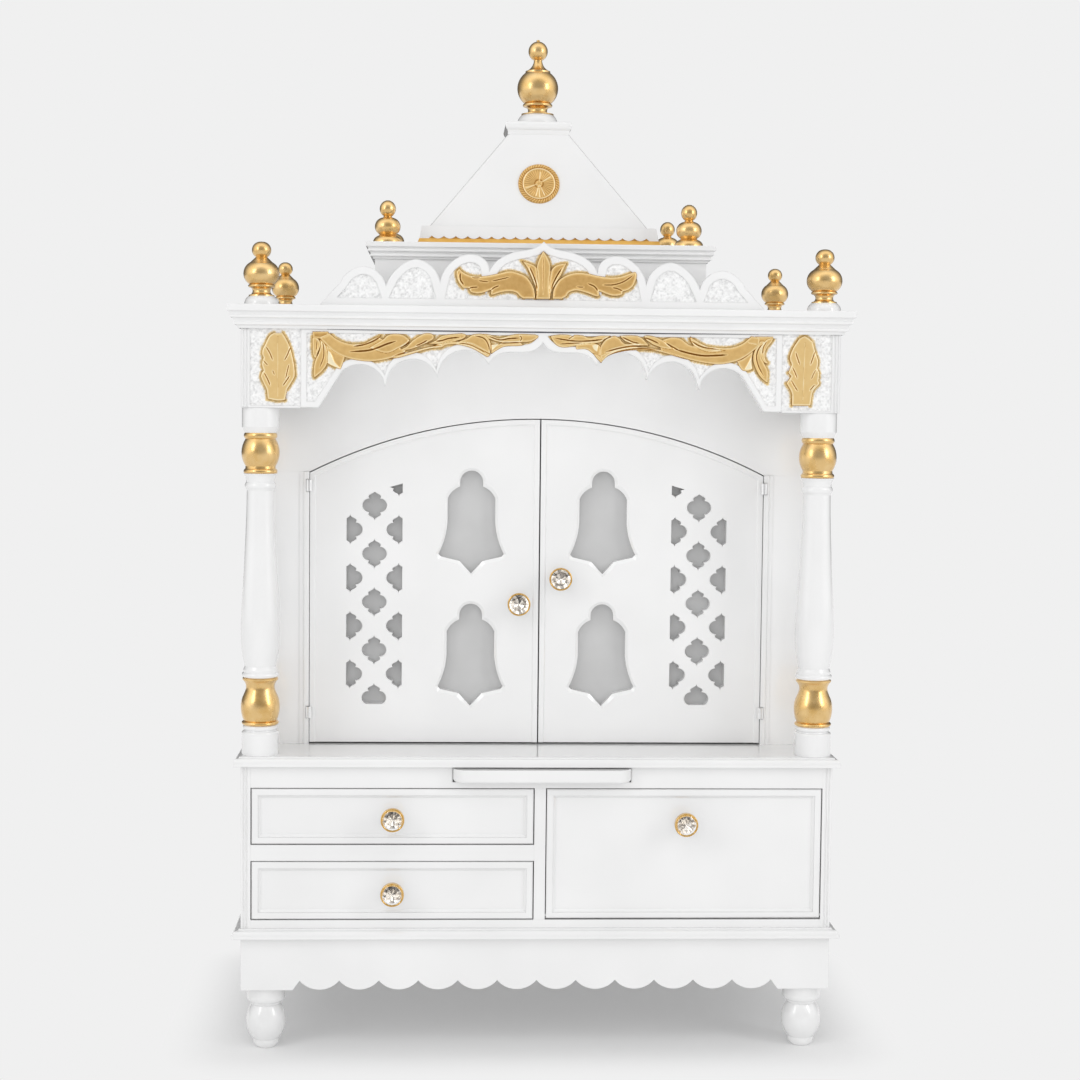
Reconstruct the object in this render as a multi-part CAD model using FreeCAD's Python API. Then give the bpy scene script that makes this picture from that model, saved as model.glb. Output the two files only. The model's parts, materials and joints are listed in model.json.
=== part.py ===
import FreeCAD, Part
import math
import os

# Pooja mandir: a white enamelled home shrine on turned feet, with a drawer cabinet, an arched
# two-leaf shrine, turned columns, a scalloped canopy and a stepped roof with gilt finials.
# Millimetres, +Z up, front towards -Y, origin on the floor under the middle of the whole piece.

V = FreeCAD.Vector
os.makedirs("parts", exist_ok=True)

# Overall plan
body_width = 732.0
body_depth = 441.0
knob_reach = 28.0
panel = 16.0
front_thickness = 18.0
back_thickness = 8.0

# Heights above the floor
foot_height = 78.0
skirt_height = 66.0
base_board = 12.0
bottom_rail = 10.0
lower_drawer_opening = 74.0
middle_rail = 20.0
upper_drawer_opening = 71.0
top_rail = 27.0
counter_thickness = 12.0
column_height = 427.0
frieze_height = 96.0
cornice_height = 29.0
tier_height = 61.0
tier_cornice_height = 21.0
roof_base_height = 26.0
pyramid_height = 122.0
cap_height = 17.0

skirt_bottom = foot_height
base_bottom = skirt_bottom + skirt_height
cabinet_bottom = base_bottom + base_board
opening_bottom = cabinet_bottom + bottom_rail
middle_rail_bottom = opening_bottom + lower_drawer_opening
middle_rail_top = middle_rail_bottom + middle_rail
opening_top = middle_rail_top + upper_drawer_opening
counter_bottom = opening_top + top_rail
counter_top = counter_bottom + counter_thickness
frieze_bottom = counter_top + column_height
cornice_bottom = frieze_bottom + frieze_height
cornice_top = cornice_bottom + cornice_height
tier_top = cornice_top + tier_height
tier_cornice_top = tier_top + tier_cornice_height
roof_base_top = tier_cornice_top + roof_base_height
pyramid_top = roof_base_top + pyramid_height
cap_top = pyramid_top + cap_height

# Projections of the moulded edges past the body
base_projection = 11.0
counter_projection = 9.0
cornice_projection = 16.0
tier_cornice_projection = 11.0

# Feet and columns, measured from the outer corner of the body
foot_inset = 29.0
column_inset = 22.0
column_diameter = 45.4

# Scalloped skirt
skirt_thickness = 16.0
skirt_corner = 64.0
scallop_lead = 8.6
scallop_width = 48.9
scallop_rise = 12.0
scallop_overhang = 0.6

# Cabinet front
stile_width = 12.0
flute_pitch = 3.6
flute_radius = 1.0
divider_width = 14.0
divider_shift = 2.5
front_gap = 1.2
board = 10.0

# Drawers, flap and tray
drawer_depth = 380.0
drawer_side_clearance = 6.0
drawer_head_clearance = 8.0
drawer_wall = 10.0
drawer_floor = 5.0
running_gap = 0.3
panel_edge = 1.2
panel_border = 8.0
panel_step = 1.8
panel_cove = 3.6
panel_sink = 4.0
flap_pivot_inset = 4.0
flap_knob_drop = 40.0
pivot_pin = 3.0
pivot_pin_length = 12.0
pivot_clearance = 0.08
tray_width = 220.0
tray_thickness = 16.5
tray_depth = 300.0
tray_proud = 20.0
tray_corner = 18.0
tray_edge = 4.0
tray_shift = 4.5
tray_drop = 1.5
tray_slot_gap = 1.5
runner_width = 18.0
runner_ledge = 8.0
tray_side_gap = 1.0

# Shrine front, arch and doors
shrine_setback = 98.0
wall_thickness = 16.0
door_thickness = 16.0
wall_panel_width = 65.0
door_gap = 1.2
door_side_gap = 0.6
door_meeting_gap = 1.6
door_meeting_shift = 3.0
door_floor_gap = 2.0
door_spring = 346.6
door_arch_rise = 69.6
jamb_width = 12.0
jamb_proud = 4.0
jamb_fillet = 5.0
jamb_fillet_proud = 1.5
hinge_length = 14.0
hinge_clearance = 0.3
lower_hinge_height = 34.0
upper_hinge_drop = 24.0
screen_thickness = 3.0
screen_margin = 14.0
door_bead = 6.0
door_bead_slope = 1.6
door_field_sink = 1.2

# Cut-outs in the doors
bell_shift = -2.6
upper_bell_top = 349.6
lower_bell_top = 179.7
bell_height = 131.0
bell_dome = 14.5
bell_shoulder = 30.3
bell_flare = 41.6
bell_rim = 3.4
bell_rim_depth = 2.6
lattice_shift = -1.8
lattice_half_width = 35.4
lattice_bottom = 50.6
lattice_arch_margin = 60.0
lattice_pitch = 61.5
lattice_first = 58.5
quatrefoil_half_width = 15.4
quatrefoil_half_height = 18.8
quatrefoil_rim = 1.0
smallest_piercing = 60.0
lattice_rows = 5

# Canopy
canopy_board = 18.0
corner_block = 72.0
valance_flat = 22.0
valance_border = 7.5
valance_rail = 5.0
carved_ground = 2.0
plaque_margin = 11.0
plaque_rail = 3.0
carving_proud = 3.0
ceiling_board = 12.0

# Crest on the cornice
crest_thickness = 12.0
crest_inset = 94.0
lobe_steps = 8
crest_border = 9.5

# Upper tier and roof
tier_width = 414.0
tier_depth = 287.0
tier_wall = 12.0
roof_base_width = 297.0
roof_border_height = 9.6
roof_border_reach = 8.0
roof_fascia_reach = 4.2
roof_fascia_head = 1.0
roof_scallop = 15.6
roof_scallop_rise = 3.4
roof_corner = 12.0
roof_lead = 4.0
roof_backing = 1.2
hip_round = 4.0
pyramid_margin = 8.5
pyramid_lean = 100.0
pyramid_front_lean = 35.0
cap_overhang = 3.0
cap_cove = 3.0
cap_round = 2.5
medallion_diameter = 53.3
medallion_thickness = 4.0
medallion_rim = 6.0
medallion_height = 57.0
finial_margin = 36.5
small_finial_margin = 28.7
pedestal_height = 10.5
back_pedestal_height = 16.0
finial_shift = 2.5
small_finial_shift = -2.5
front_finial_width = 43.8
front_finial_height = 66.0
back_finial_width = 38.0
back_finial_height = 61.0
pedestal_radius = 20.9
top_pedestal_radius = 26.5
top_pedestal_height = 13.5

# Knobs
knob_diameter = 29.0
crystal_diameter = 23.0
left_knob_height = 181.6
right_knob_height = 213.9
door_knob_inset = 25.5

# Derived planes
front = (knob_reach - body_depth) / 2
back = front + body_depth
half_width = body_width / 2
shrine_front = front + shrine_setback
middle = front + body_depth / 2
axis_y = front + (body_depth - cornice_projection) / 2
door_half_opening = half_width - wall_panel_width - jamb_width
hinge_y = shrine_front - jamb_proud
hinge_radius = math.hypot(door_side_gap, jamb_proud) - hinge_clearance
leaf_spare = door_half_opening - 2 * bell_flare - 2 * lattice_half_width
bell_offset = leaf_spare / 3 + bell_flare + bell_shift
lattice_offset = door_half_opening - leaf_spare / 3 - lattice_half_width + lattice_shift
column_x = half_width - column_inset
column_y = front + column_inset
divider_middle = divider_shift
arch_spring = counter_top + door_spring
arch_crown = arch_spring + door_arch_rise


def save(name, *shapes):
    """Write one named piece; several solids that do not touch may share it."""
    solids = [solid for shape in shapes for solid in shape.Solids]
    piece = solids[0] if len(solids) == 1 else Part.makeCompound(solids)
    piece.exportStep("parts/" + name + ".step")


def block(x0, x1, y0, y1, z0, z1):
    return Part.makeBox(x1 - x0, y1 - y0, z1 - z0, V(x0, y0, z0))


def mirrored(shape):
    """The same piece on the other side of the middle plane."""
    return shape.mirror(V(0, 0, 0), V(1, 0, 0))


class Outline:
    """A closed outline in an upright plane, drawn point by point with lines, arcs and curves."""

    def __init__(self, x, z):
        self.start = V(x, 0, z)
        self.here = self.start
        self.edges = []

    def line(self, x, z):
        there = V(x, 0, z)
        self.edges.append(Part.makeLine(self.here, there))
        self.here = there
        return self

    def arc(self, via_x, via_z, x, z):
        there = V(x, 0, z)
        self.edges.append(Part.Arc(self.here, V(via_x, 0, via_z), there).toShape())
        self.here = there
        return self

    def curve(self, *points):
        """A smooth curve from here through each (x, z) point."""
        through = [self.here] + [V(x, 0, z) for x, z in points]
        spline = Part.BSplineCurve()
        spline.interpolate(through)
        self.edges.append(spline.toShape())
        self.here = through[-1]
        return self

    def wire(self):
        if self.here.distanceToPoint(self.start) > 1e-6:
            self.edges.append(Part.makeLine(self.here, self.start))
            self.here = self.start
        return Part.Wire(self.edges)

    def wire_at(self, y):
        wire = self.wire()
        wire.translate(V(0, y, 0))
        return wire

    def plate(self, y, thickness):
        """The outline as a board whose front is at y."""
        return Part.Face(self.wire_at(y)).extrude(V(0, thickness, 0))


class Turning(Outline):
    """A lathe profile from the bottom up: x is the radius, z the height above the foot of the piece.

    The profile is drawn at its full size, and across and up stretch it to another one."""

    def __init__(self, radius, height=0.0, across=1.0, up=1.0):
        self.across = across
        self.up = up
        super().__init__(0.0, height * up)
        self.line(radius, height)

    def line(self, x, z):
        return super().line(x * self.across, z * self.up)

    def arc(self, via_x, via_z, x, z):
        return super().arc(via_x * self.across, via_z * self.up, x * self.across, z * self.up)

    def curve(self, *points):
        return super().curve(*[(x * self.across, z * self.up) for x, z in points])

    def solid(self, x, y, z):
        super().line(0.0, self.here.z)
        turned = Part.Face(self.wire()).revolve(V(0, 0, 0), V(0, 0, 1), 360)
        turned.translate(V(x, y, z))
        return turned


class Edge:
    """A moulded edge profile from the bottom up, as runs to (outset, height); a run may be an arc."""

    def __init__(self, outset):
        self.ends = [(outset, 0.0)]
        self.bends = [None]

    def line(self, outset, height):
        self.ends.append((outset, height))
        self.bends.append(None)

    def arc(self, via_outset, via_height, outset, height):
        self.ends.append((outset, height))
        self.bends.append((via_outset, via_height))

    def section(self, low, high, z):
        """Cross-section of a slab from low to high that carries this profile on both edges."""
        outline = Outline(high + self.ends[0][0], z)
        for end, bend in zip(self.ends[1:], self.bends[1:]):
            self.run(outline, high, 1, z, end, bend)
        outline.line(low - self.ends[-1][0], z + self.ends[-1][1])
        for end, bend in zip(self.ends[-2::-1], self.bends[:0:-1]):
            self.run(outline, low, -1, z, end, bend)
        return outline

    def run(self, outline, edge, way, z, end, bend):
        x = edge + way * end[0]
        if bend is None:
            outline.line(x, z + end[1])
        else:
            outline.arc(edge + way * bend[0], z + bend[1], x, z + end[1])


def moulded_slab(width, front_y, back_y, z, edge, back_moulded):
    """A slab that carries the edge profile round it, mitred at the corners."""
    past = 0.0 if back_moulded else 2 * cornice_projection
    reach = 2 * cornice_projection
    long = width + 2 * reach
    across = edge.section(-width / 2, width / 2, z).plate(front_y - reach, back_y - front_y + 2 * reach)
    along = edge.section(front_y, back_y + past, z).plate(-long / 2, long)
    along.rotate(V(0, 0, 0), V(0, 0, 1), 90)
    slab = across.common(along)
    if not back_moulded:
        slab = slab.common(block(-long, long, front_y - reach, back_y, z - reach, z + reach))
    return slab


def ogee_edge(projection, height):
    """A rounded nose with an ovolo and a small cove above it, for the counter and the base."""
    edge = Edge(projection - 1.2)
    edge.arc(projection - 0.35, 0.35, projection, 1.2)
    edge.line(projection, 0.28 * height)
    edge.arc(0.88 * projection, 0.58 * height, 0.62 * projection, 0.8 * height)
    edge.line(0.34 * projection, 0.84 * height)
    edge.arc(0.24 * projection, 0.9 * height, 0.2 * projection, height)
    return edge


def cornice_edge(projection, height):
    """Two beads, each under a cove, below a flat fascia, from the bottom up."""
    edge = Edge(0.2 * projection)
    edge.line(0.28 * projection, 0.12 * height)
    edge.line(0.42 * projection, 0.135 * height)
    edge.arc(0.54 * projection, 0.2 * height, 0.47 * projection, 0.27 * height)
    edge.arc(0.54 * projection, 0.385 * height, 0.68 * projection, 0.43 * height)
    edge.arc(0.81 * projection, 0.49 * height, 0.73 * projection, 0.56 * height)
    edge.arc(0.8 * projection, 0.66 * height, 0.93 * projection, 0.7 * height)
    edge.line(projection, 0.72 * height)
    edge.line(projection, 0.94 * height)
    edge.arc(0.98 * projection, 0.98 * height, 0.94 * projection, height)
    return edge


def foot(x, y):
    turning = Turning(12.0)
    turning.arc(15.0, 3.0, 16.2, 10.5)
    turning.arc(24.7, 31.0, 17.8, 54.0)
    turning.line(20.5, 58.0)
    turning.arc(23.6, 62.0, 23.6, 66.0)
    turning.line(23.0, foot_height)
    return turning.solid(x, y, 0.0)


def scalloped(length, bottom, top, corner, lead, lobe_width, rise, overhang):
    """A board outline centred on x = 0: plain corners, then hanging lobes between sharp cusps."""
    half = length / 2
    cusp_z = bottom + rise
    span = length - 2 * (corner + lead)
    lobes = max(1, round(span / lobe_width))
    pitch = span / lobes
    outline = Outline(-half, top)
    outline.line(-half, bottom)
    outline.line(-half + corner, bottom)
    outline.line(-span / 2, cusp_z)
    for lobe in range(lobes):
        cusp = -span / 2 + lobe * pitch
        outline.arc(cusp + pitch / 2, bottom + overhang, cusp + pitch, cusp_z)
    outline.line(half - corner, bottom)
    outline.line(half, bottom)
    outline.line(half, top)
    return outline


def skirt_outline(length):
    return scalloped(length, skirt_bottom, base_bottom, skirt_corner, scallop_lead, scallop_width,
                     scallop_rise, scallop_overhang)


def make_base():
    foot_x = half_width - foot_inset
    feet = [foot(side * foot_x, y) for side in (-1, 1) for y in (front + foot_inset, back - foot_inset)]
    save("feet", *feet)
    save("front_skirt", skirt_outline(body_width).plate(front, skirt_thickness))
    side = skirt_outline(body_depth).plate(0.0, skirt_thickness)
    side.rotate(V(0, 0, 0), V(0, 0, 1), -90)
    side.translate(V(-half_width, middle, 0))
    inner = block(-half_width - 1, half_width + 1, front + skirt_thickness, back - skirt_thickness,
                  skirt_bottom - 1, base_bottom + 1)
    side = side.common(inner)
    save("side_skirts", side, mirrored(side))
    save("back_skirt", block(-half_width, half_width, back - skirt_thickness, back,
                             skirt_bottom, base_bottom))
    save("base_moulding", moulded_slab(body_width, front, back, base_bottom,
                                       ogee_edge(base_projection, base_board), False))


def fielded_panel(x0, x1, z0, z1, thickness):
    """A drawer or flap front: bevelled edge, flat border, a quirk, then a cove to a sunk field."""

    def ring(inset, depth):
        return Part.makePolygon(rectangle(x0, x1, z0, z1, inset, front + depth))

    slab = Part.makeLoft([ring(0.0, thickness), ring(0.0, panel_edge), ring(panel_edge, 0.0)], True, True)
    quirk = Part.makeLoft([ring(panel_border, -panel_edge), ring(panel_border, panel_step)], True, True)
    cove = Part.makeLoft([ring(panel_border + panel_cove / 4, panel_step),
                          ring(panel_border + panel_cove, panel_sink)], True, True)
    return slab.cut(quirk.fuse(cove))


def rectangle(x0, x1, z0, z1, inset, y):
    corners = [(x0 + inset, z0 + inset), (x1 - inset, z0 + inset), (x1 - inset, z1 - inset),
               (x0 + inset, z1 - inset)]
    points = [V(x, y, z) for x, z in corners]
    return points + points[:1]


def make_cabinet():
    inner = half_width - panel
    behind_frame = front + front_thickness
    side = block(inner, half_width, behind_frame, back, cabinet_bottom, counter_bottom)
    save("cabinet_sides", side, mirrored(side))
    save("back_panels",
         block(-inner, inner, back - back_thickness, back, cabinet_bottom, counter_bottom),
         block(-inner, inner, back - back_thickness, back, counter_top, cornice_bottom))
    divider_left = divider_middle - divider_width / 2
    divider_right = divider_middle + divider_width / 2
    rail_left = -half_width + stile_width
    rail_right = half_width - stile_width
    slot_half = tray_width / 2 + tray_slot_gap
    slot = block(tray_shift - slot_half, tray_shift + slot_half, front - 1, behind_frame + 1,
                 counter_bottom - tray_drop - tray_thickness - tray_slot_gap, counter_bottom + 1)
    top = block(rail_left, rail_right, front, behind_frame, opening_top, counter_bottom).cut(slot)
    mid = block(rail_left, divider_left, front, behind_frame, middle_rail_bottom, middle_rail_top)
    low = block(rail_left, rail_right, front, behind_frame, cabinet_bottom, opening_bottom)
    save("frame_rails", top, mid, low)
    stile = block(rail_right, half_width, front, behind_frame, cabinet_bottom, counter_bottom)
    stile = stile.cut(edge_flutes(cabinet_bottom, counter_bottom))
    middle_stile = block(divider_left, divider_right, front, behind_frame, opening_bottom, opening_top)
    save("frame_stiles", stile, mirrored(stile), middle_stile)
    rear = back - back_thickness
    save("cabinet_boards",
         block(-inner, inner, behind_frame, rear, cabinet_bottom, opening_bottom - running_gap),
         block(-inner, divider_left, behind_frame, rear, middle_rail_top - board - running_gap,
               middle_rail_top - running_gap))
    save("compartment_divider",
         block(divider_left, divider_right, behind_frame, rear, opening_bottom - running_gap,
               opening_top))


def edge_flutes(z0, z1):
    """Two shallow flutes that leave three beads down the outer edge of a front board."""
    cutters = [Part.makeCylinder(flute_radius, z1 - z0 + 2, V(half_width - i * flute_pitch, front, z0 - 1))
               for i in (1, 2)]
    return cutters[0].fuse(cutters[1])


def make_drawer(name, z0, z1):
    x0 = -half_width + stile_width + front_gap
    x1 = divider_middle - divider_width / 2 - front_gap
    box_z0 = z0
    box_z1 = z1 - drawer_head_clearance
    face = fielded_panel(x0, x1, z0 + front_gap, z1 - front_gap, front_thickness)
    save(name + "_drawer_front", face)
    left = x0 + drawer_side_clearance
    right = x1 - drawer_side_clearance
    y0 = front + front_thickness
    y1 = y0 + drawer_depth
    outer = block(left, right, y0, y1, box_z0, box_z1)
    hollow = block(left + drawer_wall, right - drawer_wall, y0 + drawer_wall, y1 - drawer_wall,
                   box_z0 + drawer_floor, box_z1 + 1)
    save(name + "_drawer_box", outer.cut(hollow))
    make_knob(name + "_drawer", (x0 + x1) / 2, front + panel_sink, (z0 + z1) / 2,
              knob_reach + panel_sink)


def make_knob(name, x, y, z, reach):
    """A gilt cup on a short neck, holding a brilliant-cut crystal, standing out from y by its reach."""
    rim = knob_diameter / 2
    neck = 0.38 * rim
    cup = Turning(0.62 * rim)
    cup.line(0.62 * rim, 2.0)
    cup.line(neck, 3.5)
    cup.line(neck, 0.35 * reach)
    cup.arc(0.82 * rim, 0.5 * reach, rim, 0.74 * reach)
    cup.line(rim, reach - 3.0)
    cup.arc(rim - 0.8, reach - 2.1, rim - 1.8, reach - 2.4)
    cup.line(crystal_diameter / 2, reach - 2.8)
    seat_z = reach * 0.74
    cup.line(crystal_diameter / 2, seat_z)
    body = cup.solid(0, 0, 0)
    crystal = crystal_solid(seat_z, reach)
    for shape in (body, crystal):
        shape.rotate(V(0, 0, 0), V(1, 0, 0), 90)
        shape.translate(V(x, y, z))
    save(name + "_knob_cup", body)
    save(name + "_knob_crystal", crystal)


def crystal_solid(seat_z, reach):
    """A faceted crystal: an octagonal girdle with a smaller flat table."""
    sides = 8
    girdle = crystal_diameter / 2
    table = girdle * 0.58

    def ring(radius, height, turn):
        step = 2 * math.pi / sides
        points = [V(radius * math.cos(step * (i + turn)), radius * math.sin(step * (i + turn)), height)
                  for i in range(sides)]
        return Part.makePolygon(points + points[:1])

    return Part.makeLoft([ring(girdle, seat_z, 0), ring(girdle, reach - 5.0, 0),
                          ring(table, reach, 0)], True, True)


def make_flap():
    x0 = divider_middle + divider_width / 2 + front_gap
    x1 = half_width - stile_width - front_gap
    z0 = opening_bottom + front_gap
    z1 = opening_top - front_gap
    flap = fielded_panel(x0, x1, z0, z1, front_thickness)
    flap = flap.common(rounded_foot(x0, x1, z0, z1, flap_pivot_inset))
    pins = []
    for x, inward in ((x0, 1), (x1, -1)):
        base = V(x - inward * front_gap, front + flap_pivot_inset, z0 + flap_pivot_inset)
        along = V(inward, 0, 0)
        hole = Part.makeCylinder(pivot_pin / 2 + pivot_clearance, pivot_pin_length, base, along)
        flap = flap.cut(hole)
        pins.append(Part.makeCylinder(pivot_pin / 2, pivot_pin_length - 0.5, base, along))
    save("drop_flap", flap)
    save("flap_pivots", *pins)
    make_knob("flap", (x0 + x1) / 2, front + panel_sink, z1 - flap_knob_drop, knob_reach + panel_sink)


def rounded_foot(x0, x1, z0, z1, radius):
    """A board's space with both lower long edges rounded, so that it turns clear of the sides."""
    y1 = front + front_thickness
    away = radius * (1 - math.sqrt(0.5))
    outline = Outline(front + radius, z0)
    outline.line(y1 - radius, z0)
    outline.arc(y1 - away, z0 + away, y1, z0 + radius)
    outline.line(y1, z1)
    outline.line(front, z1)
    outline.line(front, z0 + radius)
    outline.arc(front + away, z0 + away, front + radius, z0)
    space = outline.plate(-x1, x1 - x0)
    space.rotate(V(0, 0, 0), V(0, 0, 1), 90)
    return space


def make_tray():
    x0 = tray_shift - tray_width / 2
    x1 = tray_shift + tray_width / 2
    z1 = counter_bottom - tray_drop
    z0 = z1 - tray_thickness
    y0 = front - tray_proud
    tray = block(x0, x1, y0, y0 + tray_depth, z0, z1)
    corners = [edge for edge in tray.Edges if is_upright_at(edge, y0)]
    tray = tray.makeFillet(tray_corner, corners)
    lower = [edge for edge in tray.Edges if edge.BoundBox.ZMax < z0 + 0.01 and edge.BoundBox.YMin < y0 + 1]
    tray = tray.makeFillet(tray_edge, lower)
    save("pull_out_tray", tray)
    runner_top = counter_bottom
    runner_bottom = z0 - running_gap - runner_ledge
    runner_back = front + front_thickness + tray_depth
    bar = block(x1 - 10.0, x1 + runner_width, front + front_thickness, runner_back,
                runner_bottom, runner_top)
    channel = block(x1 - 11.0, x1 + tray_side_gap, front, runner_back + 1, z0 - running_gap,
                    runner_top + 1)
    right = bar.cut(channel)
    left = right.mirror(V(tray_shift, 0, 0), V(1, 0, 0))
    save("tray_runners", left, right)


def is_upright_at(edge, y):
    box = edge.BoundBox
    return box.ZLength > 1 and box.YLength < 0.01 and abs(box.YMin - y) < 0.01 and box.XLength < 0.01


def make_counter():
    save("counter_top", moulded_slab(body_width, front, back, counter_bottom,
                                     ogee_edge(counter_projection, counter_thickness), False))


def column_pieces(x, y):
    """One turned column: white base, shaft and cap with two gilt bulbs between them."""
    across = column_diameter / 45.4
    up = column_height / 427.0
    base = Turning(22.8, 0.0, across, up)
    base.line(22.8, 26.0)
    base.arc(22.4, 28.0, 20.0, 29.0)
    base.line(19.4, 30.5)
    base.arc(21.6, 33.6, 20.2, 36.5)
    lower = Turning(20.2, 36.5, across, up)
    lower.line(22.2, 37.5)
    lower.arc(22.9, 39.2, 20.0, 41.0)
    lower.curve((23.9, 56.0), (22.5, 69.0), (17.6, 82.5), (21.9, 92.5))
    lower.line(21.9, 94.5)
    lower.line(20.4, 95.5)
    shaft = Turning(20.4, 95.5, across, up)
    shaft.arc(22.7, 98.6, 20.9, 102.0)
    shaft.line(21.0, 105.0)
    shaft.line(19.1, 109.3)
    shaft.curve((21.8, 121.0), (23.85, 168.0), (20.5, 228.4), (17.9, 280.0), (16.7, 325.7))
    shaft.line(17.6, 327.8)
    shaft.arc(19.2, 332.0, 17.5, 336.0)
    shaft.arc(18.2, 341.5, 20.9, 346.8)
    upper = Turning(20.0, 346.8, across, up)
    upper.arc(20.7, 349.6, 18.6, 352.6)
    upper.line(18.4, 355.6)
    upper.arc(23.3, 373.0, 18.4, 389.0)
    upper.arc(20.4, 392.6, 19.2, 396.4)
    cap = Turning(19.2, 396.4, across, up)
    cap.line(22.7, 403.5)
    cap.line(22.7, 427.0)
    white = [piece.solid(x, y, counter_top) for piece in (base, shaft, cap)]
    gilt = [piece.solid(x, y, counter_top) for piece in (lower, upper)]
    return white, gilt


def make_columns():
    white = []
    gilt = []
    for x in (-column_x, column_x):
        pieces, bulbs = column_pieces(x, column_y)
        white += pieces
        gilt += bulbs
    save("columns", *white)
    save("column_bulbs", *gilt)


def arch_outline(half, spring_z, crown_z, bottom_z):
    outline = Outline(-half, bottom_z)
    outline.line(half, bottom_z)
    outline.line(half, spring_z)
    outline.arc(0, crown_z, -half, spring_z)
    return outline


def make_shrine():
    jamb_outer = door_half_opening + jamb_width
    y0 = shrine_front
    right_panel = block(jamb_outer, half_width, y0, y0 + wall_thickness, counter_top, arch_spring)
    save("front_wall_panels", right_panel, mirrored(right_panel))
    head = block(-half_width, half_width, y0, y0 + wall_thickness, arch_spring, cornice_bottom)
    opening = arch_outline(door_half_opening, arch_spring, arch_crown, arch_spring - 1.0)
    save("arch_head", head.cut(opening.plate(y0 - 1, wall_thickness + 2)))
    jamb = block(door_half_opening, jamb_outer - jamb_fillet, y0 - jamb_proud, y0 + wall_thickness,
                 counter_top, arch_spring)
    bead = [edge for edge in jamb.Edges if is_upright_at(edge, y0 - jamb_proud)]
    jamb = jamb.makeFillet(jamb_proud / 2, bead)
    jamb = jamb.fuse(block(jamb_outer - jamb_fillet, jamb_outer, y0 - jamb_fillet_proud,
                           y0 + wall_thickness, counter_top, arch_spring))
    for z in hinge_feet():
        jamb = jamb.cut(hinge_barrel(door_half_opening, z - 1, hinge_length + 2, hinge_clearance))
    save("door_jambs", jamb, mirrored(jamb))
    side = block(half_width - panel, half_width, y0 + wall_thickness, back, counter_top,
                 cornice_bottom)
    save("shrine_sides", side, mirrored(side))


def hinge_feet():
    """The heights at which the two hinges of a leaf begin."""
    return (counter_top + lower_hinge_height, arch_spring - upper_hinge_drop)


def hinge_barrel(x, z, length, grow):
    return Part.makeCylinder(hinge_radius + grow, length, V(x, hinge_y, z))


def quatrefoil(x, z, grow):
    """Outline of a four-lobed piercing with pointed top and bottom lobes, widened by grow."""
    w = quatrefoil_half_width + grow
    h = quatrefoil_half_height + grow
    waist_x = 0.42 * w
    waist_z = 0.45 * h
    outline = Outline(x, z + h)
    for way in (1, -1):
        outline.curve((x + way * 0.24 * w, z + way * 0.78 * h), (x + way * 0.47 * w, z + way * 0.66 * h),
                      (x + way * waist_x, z + way * waist_z))
        outline.arc(x + way * w, z, x + way * waist_x, z - way * waist_z)
        outline.curve((x + way * 0.47 * w, z - way * 0.66 * h), (x + way * 0.24 * w, z - way * 0.78 * h),
                      (x, z - way * h))
    return outline


def bell(x, top, grow):
    """Outline of a temple bell piercing: dome, shoulders, flared lip and pointed clapper."""
    crown = top + grow
    dome = bell_dome + grow
    shoulder = bell_shoulder + grow
    flare = bell_flare + grow
    lip = top - 0.81 * bell_height
    outline = Outline(x - dome, crown - dome)
    outline.arc(x, crown, x + dome, crown - dome)
    outline.line(x + dome, top - 0.155 * bell_height + grow)
    outline.curve((x + 0.72 * shoulder, top - 0.185 * bell_height + grow),
                  (x + shoulder, top - 0.27 * bell_height))
    outline.line(x + shoulder, top - 0.5 * bell_height)
    outline.curve((x + 0.83 * flare, top - 0.68 * bell_height), (x + flare, lip))
    outline.line(x + flare - 3.0, lip - 3.5 - grow)
    outline.line(x + dome, top - 0.88 * bell_height - grow)
    outline.curve((x + 0.6 * dome, top - 0.93 * bell_height - grow), (x, top - bell_height - grow))
    outline.curve((x - 0.6 * dome, top - 0.93 * bell_height - grow), (x - dome, top - 0.88 * bell_height - grow))
    outline.line(x - flare + 3.0, lip - 3.5 - grow)
    outline.line(x - flare, lip)
    outline.curve((x - 0.83 * flare, top - 0.68 * bell_height), (x - shoulder, top - 0.5 * bell_height))
    outline.line(x - shoulder, top - 0.27 * bell_height)
    outline.curve((x - 0.72 * shoulder, top - 0.185 * bell_height + grow),
                  (x - dome, top - 0.155 * bell_height + grow))
    return outline


def rimmed_hole(shape, x, z, rim, depth):
    """A piercing through the leaf with a routed bevel round its mouth."""
    face_y = shrine_front + door_field_sink
    bevel = Part.makeLoft([shape(x, z, rim).wire_at(face_y), shape(x, z, 0.0).wire_at(face_y + depth)],
                          True, True)
    return bevel.fuse(shape(x, z, 0.0).plate(face_y, door_thickness))


def lattice(x):
    """Quatrefoils on a diagonal grid, kept inside an upright strip that follows the arch."""
    places = []
    first = counter_top + lattice_first
    for row in range(lattice_rows):
        places.append((x, first + row * lattice_pitch))
        for side in (-0.5, 0.5):
            places.append((x + side * lattice_pitch, first + (row + 0.5) * lattice_pitch))
    strip = block(x - lattice_half_width, x + lattice_half_width, shrine_front - 2,
                  shrine_front + door_thickness + 2, counter_top + lattice_bottom, arch_crown)
    under_arch = arch_outline(door_half_opening, arch_spring, arch_crown, counter_top)
    limit = under_arch.plate(shrine_front - 2, door_thickness + 4)
    limit.translate(V(0, 0, -lattice_arch_margin))
    strip = strip.common(limit)
    lowest = counter_top + lattice_bottom + quatrefoil_half_height + quatrefoil_rim
    highest = first + (lattice_rows - 1.5) * lattice_pitch
    holes = []
    for hole_x, hole_z in places:
        hole = rimmed_hole(quatrefoil, hole_x, hole_z, quatrefoil_rim, quatrefoil_rim)
        if hole_x != x or hole_z < lowest or hole_z > highest:
            hole = hole.common(strip)
        if hole.Volume > smallest_piercing * door_thickness:
            holes.append(hole)
    return holes


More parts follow.
